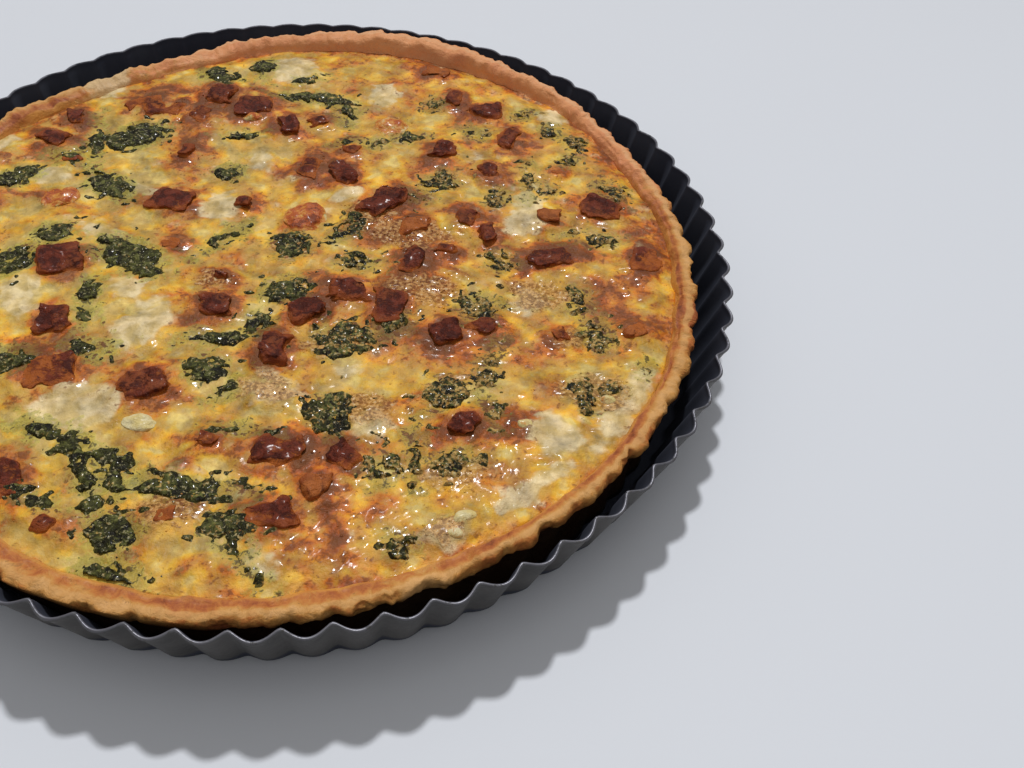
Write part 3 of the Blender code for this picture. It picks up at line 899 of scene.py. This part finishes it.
def makeTin():
    look = tinLook
    sheet, height = look["sheet"], look["height"]
    rim, foot = look["rimRadius"], look["footRadius"]
    inner, outer = look["innerRound"], look["outerRound"]
    low = sheet + inner
    bead = 0.5 * sheet + 0.1
    up = [i / look["wallRows"] for i in range(1, look["wallRows"])]
    outline = [(0.0, sheet), (0.5 * foot, sheet), (0.9 * foot, sheet), (foot - 3.2, sheet)]
    outline += arc(foot - sheet - inner, low, inner, -90.0, 0.0, 4)
    outline += [(foot + (rim - foot) * part - sheet, low + (height - low) * part) for part in up]
    outline += arc(rim - 0.5 * sheet, height - bead, bead, 200.0, -20.0, 8)
    outline += [(foot + (rim - foot) * part, outer + (height - outer) * part) for part in up[::-1]]
    outline += arc(foot - outer, outer, outer, 0.0, -90.0, 6)
    outline += [(foot - 5.0, 0.0), (0.9 * foot, 0.0), (0.5 * foot, 0.0), (0.0, 0.0)]
    edges = [(i, i + 1) for i in range(len(outline) - 1)]
    mesh = bpy.data.meshes.new("tinOutline")
    mesh.from_pydata([(r * mm, 0.0, z * mm) for r, z in outline], edges, [])
    tin = newObject("tartTin", mesh)
    turn = tin.modifiers.new("Turn", "SCREW")
    turn.steps = turn.render_steps = flutes * look["stepsPerFlute"]
    turn.use_merge_vertices = True
    turn.merge_threshold = weld
    bakeModifiers(tin)
    shape = bmesh.new()
    shape.from_mesh(tin.data)
    bmesh.ops.remove_doubles(shape, verts=shape.verts, dist=weld)
    bmesh.ops.recalc_face_normals(shape, faces=shape.faces)
    shape.to_mesh(tin.data)
    shape.free()
    tin.data.shade_smooth()
    material = tinFinish()
    lengths = {"Height": height, "Rim radius": rim, "Foot radius": foot, "Rim depth": look["rimDepth"],
               "Foot depth": look["footDepth"], "Rim dip": look["rimDip"], "Foot round": look["footRound"],
               "Sheet": sheet}
    lengths = {name: value * mm for name, value in lengths.items()}
    nodeShape(tin, fluteTree(), {
        "Flutes": float(flutes), "Softness": cuspSoftness, "Material": material, **lengths})
    putOn(tin, material, "tin", "tin")


# bacon: the lardons of the frame and smaller bits, remeshed and crisped
baconLook = {
    "voxel": 0.75,
    "softened": 5,          # rounds of smoothing of the cut corners
    "shrunk": 0.9,
    "warp": 2.6,
    "notches": 1.1,
    "crisp": 0.9,
    "proud": (0.2, 0.6),   # how much of a lardon's height above the custard is kept
    "bitHeight": 4.5,
    "paler": (17, 20, 25, 36, 31),   # the lardons that are covered or hardly browned
    "seed": 5,
}


def baconFinish():
    material, graph, place = newFinish("brownedBacon", {
        "Coat Roughness": 0.18, "IOR": 1.4, "Specular IOR Level": 0.22})
    tone, fat, proud, edge = graph.marks("tone", "fat", "proud", "edge")
    broad = graph.noise(place, 0.0055, 4.0, 0.65, 0.6)
    mottle = graph.noise(graph.moved(place, 1.7), 0.0022, 4.0, 0.7, 0.5)
    grain = graph.noise(place, 0.0007, 2.0, 0.6)
    colour = graph.coats(
        graph.twoTone(broad + 0.5 * (mottle - 0.5), 0.40, 0.62, (66, 24, 14), (112, 47, 27)),
        ((162, 92, 44), tone + 1.6 * (broad - 0.5), 0.40, 0.95),
        ((136, 72, 38), 0.25 * fat + mottle, 0.66, 0.84, 0.6),
        ((44, 14, 10), mottle + 0.7 * (broad - 0.5), 0.56, 0.72, 0.6),
        ((136, 66, 30), 0.6 * edge + 1.2 * (mottle - 0.5), 0.22, 0.62, 0.85),
        ((164, 88, 32), 1.0 - mottle - 0.3 * proud, 0.22, 0.48, 0.85))
    relief = 0.0009 * mottle + 0.0004 * grain
    graph.surface(colour, 0.5 + 0.6 * (mottle - 0.5), 0.2 * graph.step(broad, 0.5, 0.62), relief)
    return material


def nearestOval(points, ovals):
    # the number of the oval whose middle is nearest, in its own lengths
    best = np.full(len(points), 1e9)
    which = np.zeros(len(points), dtype=int)
    for number, oval in enumerate(ovals):
        reach = np.hypot(*ovalFrame(points, oval))
        which = np.where(reach < best, number, which)
        best = np.minimum(best, reach)
    return which


def makeBacon():
    look = baconLook
    rng = np.random.default_rng(look["seed"])
    shape = bmesh.new()
    for name in lardonNames:
        shape.from_mesh(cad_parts[name].data)
    bmesh.ops.remove_doubles(shape, verts=shape.verts, dist=weld)
    for x, y, length, width, turn in baconBits:
        tilt = Euler((rng.uniform(-0.2, 0.2), rng.uniform(-0.2, 0.2), math.radians(turn)))
        place = Matrix.Translation(Vector((x, y, levelAt(x, y) + 0.3)) * mm) @ tilt.to_matrix().to_4x4()
        size = Matrix.Diagonal((length * mm, width * mm, look["bitHeight"] * mm, 1.0))
        bmesh.ops.create_cube(shape, size=1.0, matrix=place @ size)
    bacon = fromShape("bacon", shape)
    remesh = bacon.modifiers.new("Remesh", "REMESH")
    remesh.mode = "VOXEL"
    remesh.voxel_size = look["voxel"] * mm
    remesh.use_smooth_shade = True
    soften = bacon.modifiers.new("Soften", "SMOOTH")
    soften.iterations = look["softened"]
    bakeModifiers(bacon)
    points = objectPoints(bacon)
    warp = np.column_stack([layered(points, 6.5, 101 + axis, 2) for axis in range(3)])
    notches = np.column_stack([layered(points, 3.4, 105 + axis, 2, 0.6) for axis in range(3)])
    setPoints(bacon, points + (look["warp"] * warp + look["notches"] * notches) * (1.0, 1.0, 0.8))
    points = objectPoints(bacon)
    normals = readEach(bacon.data.vertex_normals, "vector")
    rough = layered(points, 3.2, 111, 2) - 0.7 * np.abs(softNoise(points, 2.2, 113))
    setPoints(bacon, points + normals * (look["crisp"] * rough)[:, None])
    points = objectPoints(bacon)
    ovals = allBacon
    which = nearestOval(points, ovals)
    above = points[:, 2] - custardLevel
    kept = rng.uniform(*look["proud"], len(ovals))[which]
    points[:, 2] = custardLevel + np.where(above > 0.0, above * kept + 0.3, above)
    middles = np.array([oval[:2] for oval in ovals])[which]
    points[:, :2] = middles + look["shrunk"] * (points[:, :2] - middles)
    setPoints(bacon, points)
    tones = np.clip(rng.normal(0.14, 0.14, len(ovals)), 0.0, 0.6)
    for number in look["paler"]:
        tones[number - 1] = 1.0
    layers = rng.uniform(0.5, 1.1, len(ovals))
    along, across = np.zeros(len(points)), np.zeros(len(points))
    for number, oval in enumerate(ovals):
        chosen = which == number
        along[chosen], across[chosen] = ovalFrame(points[chosen], oval)
    ribbons = np.sin(3.2 * across * layers[which] + 2.0 * along + 9.0 * layers[which])
    ribbons += 0.5 * softNoise(points, 2.5, 121)
    proud = points[:, 2] - custardHeight(points[:, :2])
    setMark(bacon, "tone", tones[which] + 0.25 * layered(points, 5.0, 123, 2))
    setMark(bacon, "fat", 0.5 + 0.5 * ribbons)
    setMark(bacon, "proud", proud)
    inward = depthInside(points, ovals) + softNoise(points, 2.5, 125)
    setMark(bacon, "edge", 1.0 - smoothStep(inward, 0.0, 2.4))
    putOn(bacon, baconFinish(), "bacon", *lardonNames)


# spinach: wilted, chopped leaves, a crumpled skin over each clump and loose shreds round it
spinachLook = {
    "cell": 0.5,
    "rise": 0.7,
    "sunk": 0.55,
    "crumple": 0.7,
    "ragged": 4.4,
    "gaps": 2.2,
    "veil": (-40.0, 70.0),  # x from where to where a film of custard covers more and more of it
    "thickness": 0.3,
    "strayClumps": 520,
    "seed": 21,
}


def strayLeaves():
    # small scraps thrown round the clumps: x, y, length, width, turn
    rng = np.random.default_rng(spinachLook["seed"])
    area = np.array([length * width for _, _, length, width, _ in leafClumps])
    chosen = rng.choice(len(leafClumps), spinachLook["strayClumps"], p=area / area.sum())
    scraps = []
    for number in chosen:
        angle = rng.uniform(0.0, math.tau)
        reach = rng.uniform(1.05, 1.9)
        size = rng.uniform(0.9, 2.6)
        place = onOval(leafClumps[number], reach, angle)
        scraps.append((*place, size * rng.uniform(1.0, 2.4), size, rng.uniform(0.0, 180.0)))
    return scraps


leafScraps = strayLeaves()


def leafField(points):
    # millimetres inside the ragged outline of the spinach
    look = spinachLook
    places = warped(points, 6.0, 3.0, 127)
    clumps = depthInside(points, leafClumps)
    thin = smoothStep(points[:, 0], *look["veil"])
    field = clumps + 0.9 - 0.9 * thin + look["ragged"] * layered(places, 8.0, 131, 3, 0.7)
    field -= look["gaps"] * (1.0 + thin) * smoothStep(layered(places, 3.6, 135, 2, 0.6), 0.15, 0.55)
    scraps = depthInside(points, leafScraps)
    return np.maximum(field, scraps + 0.7 * softNoise(points, 1.4, 139))


def leafHeight(points, field):
    look = spinachLook
    folds = 1.0 - 2.4 * np.abs(layered(warped(points, 4.0, 2.0, 141), 3.6, 143, 2))
    fine = 1.0 - 2.0 * np.abs(softNoise(warped(points, 2.0, 0.8, 149), 1.6, 147))
    over = smoothStep(field, -0.5, 1.6)
    return custardHeight(points) - look["sunk"] + (look["rise"] + 0.25) * over + over * look["crumple"] * (
        0.75 * folds + 0.2 * fine)


def spinachFinish():
    material, graph, place = newFinish("wiltedSpinach", {
        "Coat Roughness": 0.15, "IOR": 1.4, "Specular IOR Level": 0.22})
    depth, folds, veil = graph.marks("depth", "folds", "veil")
    broad = graph.noise(place, 0.006, 4.0, 0.65, 0.8)
    mottle = graph.noise(graph.moved(place, 2.3), 0.0024, 4.0, 0.7, 0.8)
    grain = graph.noise(place, 0.0008, 2.0, 0.6)
    dots = graph.noise(graph.moved(place, 4.4), 0.0012, 2.0, 0.5)
    film = graph.twoTone(mottle, 0.48, 0.62, (146, 112, 58), (198, 162, 96))
    filmed = 0.14 * veil + 0.7 * dots + 0.3 * mottle + 0.4 * (broad - 0.5)
    colour = graph.coats(
        graph.twoTone(broad, 0.40, 0.62, (20, 17, 4), (44, 43, 15)),
        # mid-green and olive tones, lifted where the leaves stand higher as painted highlights along the
        # folds
        ((74, 75, 33), mottle + 0.10 * folds + 0.3 * (broad - 0.5), 0.50, 0.66, 0.85),
        ((110, 110, 58), mottle + 0.14 * folds, 0.63, 0.77, 0.8),
        ((120, 108, 46), 1.0 - mottle - 0.2 * depth, 0.36, 0.56, 0.8), (film, filmed, 0.60, 0.72, 0.85),
        # pale specks: partly custard crumbs on the leaves, partly painted glints
        ((176, 166, 122), grain + 0.5 * (dots - 0.5), 0.60, 0.68, 0.6))
    relief = 0.0007 * mottle + 0.0004 * grain
    graph.surface(colour, 0.5 + 0.5 * (mottle - 0.5), 0.5 * graph.step(grain, 0.54, 0.64), relief)
    return material


def makeSpinach(material):
    look = spinachLook
    cell = look["cell"]
    reach = 124.0
    side = np.arange(-reach, reach, cell)
    gridX, gridY = np.meshgrid(side, side)
    columns = len(side)
    flat = np.column_stack((gridX.ravel(), gridY.ravel()))
    inPan = toEdge(flat) > 1.0
    near = np.zeros(len(flat), dtype=bool)
    near[inPan] = depthInside(flat[inPan], leafClumps + leafScraps) > -5.0
    field = np.full(len(flat), -9.0)
    field[near] = leafField(flat[near])
    kept = (field > -0.6).reshape(columns, columns)
    full = kept[:-1, :-1] & kept[1:, :-1] & kept[:-1, 1:] & kept[1:, 1:]
    rows, steps = np.nonzero(full)
    corner = rows * columns + steps
    quads = np.column_stack((corner, corner + 1, corner + columns + 1, corner + columns))
    used, order = np.unique(quads, return_inverse=True)
    quads = order.reshape(-1, 4)
    jitter = np.column_stack([softNoise(flat[used], 1.1, seed) for seed in (151, 152)])
    points = flat[used] + 0.35 * jitter
    depth = field[used]
    height = leafHeight(points, depth)
    folds = height - custardHeight(points)
    spinach = meshFrom("spinach", np.column_stack((points, height)), quads.tolist(),
                       {"depth": depth, "folds": folds, "veil": smoothStep(points[:, 0], *look["veil"])})
    sheet = spinach.modifiers.new("Sheet", "SOLIDIFY")
    sheet.thickness = look["thickness"] * mm
    sheet.offset = -1.0
    bakeModifiers(spinach)
    putOn(spinach, material, "spinach", *spinachNames)


# cheese: browned and pale lumps that stand a little proud
cheeseLook = {
    "browned": (0.9, 1.0, 0.6, 0.0),     # how browned each knob of the frame is
    # smaller knobs: x, y, length, width, turn and how browned
    "extra": (
        (63, -98, 6, 4, 20, 0.1), (61, -103, 4, 3, 0, 0.2), (77, -66, 4, 3.5, 30, 0.4),
        (100, -54, 5, 4, 0, 0.3), (35, -2, 4, 3, 0, 0.8), (-30, 71, 7, 6, 20, 0.7), (-104, 6, 7, 6, 0, 0.4),
    ),
    "depth": 3.4,
    "sunk": 0.35,
    "uneven": 1.4,
}


def cheeseFinish():
    material, graph, place = newFinish("meltedCheese", {
        "Coat Roughness": 0.18, "IOR": 1.4, "Specular IOR Level": 0.35})
    browned, top = graph.marks("browned", "top")
    broad = graph.noise(place, 0.007, 4.0, 0.65, 0.6)
    mottle = graph.noise(graph.moved(place, 4.1), 0.0026, 4.0, 0.7, 0.5)
    grain = graph.noise(place, 0.0008, 2.0, 0.6)
    skin = browned * (0.5 + 0.5 * top) + 1.5 * (broad - 0.5) + 1.8 * (mottle - 0.5)
    colour = graph.coats(
        graph.twoTone(broad, 0.38, 0.62, (204, 184, 120), (214, 202, 160)),
        ((202, 136, 60), skin, 0.25, 0.60), ((172, 84, 34), skin, 0.60, 0.90),
        ((108, 48, 24), skin + 0.5 * (grain - 0.5), 0.98, 1.20, 0.85))
    relief = 0.0007 * mottle + 0.0002 * grain
    graph.surface(colour, 0.42 + 0.5 * (mottle - 0.5), 0.1 + 0.15 * browned, relief)
    return material


def makeCheese():
    look = cheeseLook
    rows = [(*knob, skin) for knob, skin in zip(cheeseKnobs, look["browned"])]
    rows += list(look["extra"])
    places, faces, browned, top = [], [], [], []
    total = 0
    for number, (x, y, length, width, turn, skin) in enumerate(rows):
        shape = bmesh.new()
        bmesh.ops.create_icosphere(shape, subdivisions=4 if number < len(cheeseKnobs) else 3, radius=0.5)
        unit = np.array([vertex.co[:] for vertex in shape.verts])
        faces += [[vertex.index + total for vertex in face.verts] for face in shape.faces]
        shape.free()
        swell = 1.0 + 0.45 * layered(unit * 10.0 + 40.0 * number, 6.0, 161, 3)
        local = unit * swell[:, None] * (length, width, look["depth"] + 0.12 * width)
        dx, dy = spun(local[:, 0], local[:, 1], turn)
        place = np.column_stack((x + dx, y + dy, 0.7 * local[:, 2] + levelAt(x, y) - look["sunk"]))
        upper = smoothStep(unit[:, 2], -0.1, 0.2)
        place[:, 2] += look["uneven"] * layered(place, 3.0, 163, 3) * upper
        places.append(place)
        total += len(place)
        browned.append(np.full(len(place), skin))
        top.append(smoothStep(unit[:, 2], 0.0, 0.35))
    cheese = meshFrom("cheese", np.vstack(places), faces,
                      {"browned": np.concatenate(browned), "top": np.concatenate(top)})
    putOn(cheese, cheeseFinish(), "cheese", *cheeseNames)


# small things scattered by Geometry Nodes: shreds of leaf, bubbles in the skin, toasted flecks
def scatterTree():
    sockets = {"Shapes": "Collection", "Seed": "Int", "Lean": "Float", "Material": "Material"}
    tree, graph, wires = newTree("scatterOnTop", sockets)
    shapes = graph.add("GeometryNodeCollectionInfo", None,
                       {"Collection": wires["Shapes"], "Separate Children": True, "Reset Children": True})
    size = graph.add("GeometryNodeInputNamedAttribute", {"data_type": "FLOAT"}, {"Name": "size"})
    lean = wires["Lean"]
    tilts = [graph.add("FunctionNodeRandomValue", {"data_type": "FLOAT"},
                       {2: lean * -1.0, 3: lean, "Seed": wires["Seed"] + number}, output=1)
             for number in range(2)]
    spin = graph.add("FunctionNodeRandomValue", {"data_type": "FLOAT"},
                     {2: 0.0, 3: math.tau, "Seed": wires["Seed"] + 2}, output=1)
    euler = graph.add("ShaderNodeCombineXYZ", None, {0: tilts[0], 1: tilts[1], 2: spin})
    turn = graph.add("FunctionNodeEulerToRotation", None, {0: euler})
    pick = graph.add("FunctionNodeRandomValue", {"data_type": "INT"},
                     {4: 0, 5: 99, "Seed": wires["Seed"] + 3}, output=2)
    placed = graph.add("GeometryNodeInstanceOnPoints", None, {
        "Points": wires["Geometry"], "Instance": shapes, "Pick Instance": True, "Instance Index": pick,
        "Rotation": turn, "Scale": size})
    endTree(graph, placed, wires["Material"])
    return tree


def scatter(name, slot, tree, look, points, marks, shapes, material):
    # a copy of one of the shapes on every point, as one plain mesh
    hidden = bpy.data.collections.new(name + "Shapes")
    for shape in shapes:
        for owner in list(shape.users_collection):
            owner.objects.unlink(shape)
        hidden.objects.link(shape)
    obj = meshFrom(name, np.column_stack(points), [], marks)
    nodeShape(obj, tree, {
        "Shapes": hidden, "Material": material, "Seed": look["seed"], "Lean": look["lean"]})
    for shape in shapes:
        bpy.data.objects.remove(shape, do_unlink=True)
    bpy.data.collections.remove(hidden)
    obj.data.shade_smooth()
    putOn(obj, material, slot)


def sown(rng, spots, wanted):
    # which of the places are taken: as many as wanted, and none on the bacon
    return (rng.uniform(0.0, 1.0, len(spots)) < wanted) & (depthInside(spots, lardons) < 0.3)


def strewn(rng, tries, inset):
    # places spread evenly over the custard, some millimetres in from its edge
    angle = rng.uniform(0.0, math.tau, tries)
    reach = np.sqrt(rng.uniform(0.0, 1.0, tries)) * (custardRadius(angle) - inset)
    return polar(reach, angle)


def mostlySmall(rng, look, count, power):
    # sizes in metres, more of them near the smallest the higher the power
    spread = rng.uniform(0.0, 1.0, count) ** power
    return (look["smallest"] + (look["largest"] - look["smallest"]) * spread) * mm


def thinShape(name, columns, rows, rule):
    # a small closed sheet, one unit long: rule(u, v) gives its x, y, z on the upper side and its thickness
    points, faces = [], []
    for side in (1.0, -1.0):
        for j in range(rows + 1):
            for i in range(columns + 1):
                x, y, z, thick = rule(2.0 * i / columns - 1.0, 2.0 * j / rows - 1.0)
                points.append((x, y, z + 0.5 * side * thick))
    half = (columns + 1) * (rows + 1)
    for upper, lower in zip(gridFaces(columns, rows), gridFaces(columns, rows, half)):
        faces += [upper, lower[::-1]]
    rim = gridRim(columns, rows)
    for a, b in zip(rim, rim[1:] + rim[:1]):
        faces.append((b, a, half + a, half + b))
    return meshFrom(name, points, faces)


shredLook = {
    "perClump": 17,
    "smallest": 1.8,
    "largest": 6.5,
    "lift": 0.12,
    "lean": 0.12,
    "seed": 31,
}


def makeShreds(tree, material):
    look = shredLook
    rng = np.random.default_rng(look["seed"])
    shapes = []
    for number in range(6):
        bend, twist, taper = rng.uniform(-0.35, 0.35), rng.uniform(-0.1, 0.1), rng.uniform(0.3, 0.8)
        slant, broad = rng.uniform(-0.4, 0.4), rng.uniform(0.06, 0.15)

        def leafRule(u, v, bend=bend, twist=twist, taper=taper, slant=slant, broad=broad):
            wide = broad * (1.0 - taper * u * u) * (1.0 + 0.3 * math.sin(5.0 * u + 9.0 * slant))
            z = 0.03 * math.cos(2.4 * u + slant) + twist * u * v * 0.2 + 0.02 * math.sin(6.0 * v + 4.0 * u)
            return 0.5 * u, wide * v + bend * u * u + 0.1 * slant * math.sin(5.0 * u), z, 0.04
        shapes.append(thinShape(f"leafShred{number}", 6, 2, leafRule))
    spots = []
    for oval in leafClumps + leafScraps:
        count = max(1, int(look["perClump"] * oval[2] * oval[3] / 120.0))
        angle = rng.uniform(0.0, math.tau, count)
        reach = np.sqrt(rng.uniform(0.0, 1.0, count)) * 1.5
        spots.append(np.column_stack(onOval(oval, reach, angle)))
    spots = np.vstack(spots)
    spots = spots[toEdge(spots) > 2.5]
    field = leafField(spots)
    spots = spots[field > -6.0]
    field = field[field > -6.0]
    height = np.maximum(custardHeight(spots), leafHeight(spots, field)) + look["lift"]
    size = rng.uniform(look["smallest"], look["largest"], len(spots)) * mm
    marks = {"size": size, "depth": 1.2 + rng.uniform(-0.8, 0.8, len(spots)),
             "folds": rng.uniform(0.0, 1.2, len(spots)),
             "veil": smoothStep(spots[:, 0], *spinachLook["veil"])}
    scatter("spinachShreds", "spinach", tree, look, (spots, height), marks, shapes, material)


bubbleLook = {
    "tries": 15000,
    "smallest": 0.35,
    "largest": 1.0,
    "lean": 0.15,
    "seed": 41,
}


def makeBubbles(tree, material):
    # low blisters in the custard's skin, closest together where it foamed
    look = bubbleLook
    rng = np.random.default_rng(look["seed"])
    spots = strewn(rng, look["tries"], 2.0)
    marks = custardMarks(spots)
    leaf = leafField(spots)
    wanted = 0.75 * marks["foamy"] + 0.35 * (marks["baked"] - 0.2) - 0.1 * marks["cheesy"]
    kept = sown(rng, spots, wanted)
    spots, leaf = spots[kept], leaf[kept]
    height = np.where(leaf > 0.0, leafHeight(spots, leaf), custardHeight(spots))
    size = mostlySmall(rng, look, len(spots), 2.5)
    shapes = []
    for number, squash in enumerate((0.55, 0.75, 0.4)):
        shape = bmesh.new()
        bmesh.ops.create_icosphere(shape, subdivisions=1, radius=0.5)
        bmesh.ops.scale(shape, vec=(1.0, 0.8 + 0.1 * number, squash), verts=shape.verts)
        shapes.append(fromShape(f"bubble{number}", shape))
    marks = {"size": size, **{name: values[kept] for name, values in marks.items()}}
    scatter("bubbles", "custard", tree, look, (spots, height), marks, shapes, material)


fleckLook = {
    "tries": 5200,
    "smallest": 0.5,
    "largest": 1.9,
    "lean": 0.3,
    "seed": 51,
}


def fleckFinish():
    material, graph, place = newFinish("toastedFleck", {"Coat Roughness": 0.3})
    mottle = graph.noise(place, 0.0016, 3.0, 0.6)
    broad = graph.noise(place, 0.008, 2.0, 0.5)
    colour = graph.twoTone(broad, 0.4, 0.6, (92, 46, 26), (124, 70, 36))
    colour = graph.coats(colour, ((58, 30, 20), mottle, 0.5, 0.65))
    coat = 0.3 * graph.step(broad, 0.45, 0.6)
    graph.surface(colour, 0.5 + 0.4 * (mottle - 0.5), coat, 0.0002 * mottle, 0.6)
    return material


def makeFlecks(tree):
    # dark toasted crumbs of herb and skin, thickest where the custard browned
    look = fleckLook
    rng = np.random.default_rng(look["seed"])
    spots = strewn(rng, look["tries"], 1.5)
    marks = custardMarks(spots)
    clumped = smoothStep(layered(spots, 9.0, 171, 2), -0.1, 0.5)
    wanted = 0.02 + 0.4 * clumped * np.clip(marks["baked"] - 0.25, 0.0, 1.0) + 0.22 * marks["foamy"]
    kept = sown(rng, spots, wanted)
    spots = spots[kept]
    height = custardHeight(spots) + 0.06
    size = mostlySmall(rng, look, len(spots), 2.2)
    shapes = []
    for number in range(3):
        lop = 0.3 * number - 0.3
        shapes.append(thinShape(f"fleck{number}", 2, 2, lambda u, v, lop=lop: (
            0.5 * u * (1.0 - 0.3 * v * v), 0.36 * v * (1.0 + lop * u), 0.06 * u * v, 0.16)))
    scatter("toastedFlecks", "custard", tree, look, (spots, height), {"size": size}, shapes, fleckFinish())


# studio: pale floor, one key light a little behind, soft light all round, and the camera
studioLook = {
    "floor": 3.0,
    "floorColours": ((206, 210, 216), (202, 205, 210)),
    "keyStrength": 1.9,
    "keyColour": (0.98, 0.985, 1.0),
    "keySpread": 3.5,
    "keyTurn": 4.0,         # degrees from straight behind, towards the left
    "keyHeight": 60.0,
    "roomStrength": 0.26,
    "roomColour": (1.0, 0.98, 0.98, 1.0),
    "fillPower": 1.2,
    "fillPlace": (0.15, -0.35, 1.1),
    "fillSize": 0.9,
    "cameraPlace": (72.5, -248.5, 242.3),
    "cameraDown": 47.67,
    "cameraRoll": 4.46,
    "cameraLens": 35.96,
}


def makeStudio():
    look = studioLook
    scene = bpy.context.scene
    bpy.ops.mesh.primitive_plane_add(size=look["floor"], location=(0.0, 0.0, tinBottom * mm - 0.0002))
    floor = bpy.context.object
    floor.name = "floor"
    material, graph, place = newFinish("paleFloor", {"Roughness": 0.6, "Specular IOR Level": 0.25})
    haze = graph.noise(place, 0.35, 2.0, 0.5)
    graph.surface(graph.mix(haze, *(paint(*colour, 1.25) for colour in look["floorColours"])))
    floor.data.materials.append(material)

    world = bpy.data.worlds.new("softRoom")
    scene.world = world
    world.use_nodes = True
    background = world.node_tree.nodes["Background"]
    background.inputs["Color"].default_value = look["roomColour"]
    background.inputs["Strength"].default_value = look["roomStrength"]

    lamp = bpy.data.lights.new("keyLight", "SUN")
    lamp.energy = look["keyStrength"]
    lamp.angle = math.radians(look["keySpread"])
    lamp.color = look["keyColour"]
    key = newObject("keyLight", lamp)
    key.rotation_euler = Euler((math.radians(look["keyHeight"] - 90.0), 0.0, math.radians(look["keyTurn"])))

    panel = bpy.data.lights.new("fillLight", "AREA")
    panel.energy = look["fillPower"]
    panel.size = look["fillSize"]
    fill = newObject("fillLight", panel)
    fill.location = look["fillPlace"]
    fill.rotation_euler = Vector(look["fillPlace"]).to_track_quat("Z", "Y").to_euler()

    lens = bpy.data.cameras.new("camera")
    lens.lens = look["cameraLens"]
    lens.sensor_width = 36.0
    lens.clip_start = 0.01
    camera = newObject("camera", lens)
    downward = Euler((math.radians(90.0 - look["cameraDown"]), 0.0, 0.0)).to_matrix()
    roll = Matrix.Rotation(math.radians(look["cameraRoll"]), 3, "Z")
    camera.matrix_world = Matrix.Translation(Vector(look["cameraPlace"]) * mm) @ (downward @ roll).to_4x4()
    scene.camera = camera
    scene.view_settings.view_transform = "Standard"


makeStudio()
print("studio ready")
makeTin()
makePastry()
custard = makeCustard()
makeBacon()
leafMaterial = spinachFinish()
makeSpinach(leafMaterial)
makeCheese()
scatterNodes = scatterTree()
makeShreds(scatterNodes, leafMaterial)
makeBubbles(scatterNodes, custard.data.materials[0])
makeFlecks(scatterNodes)
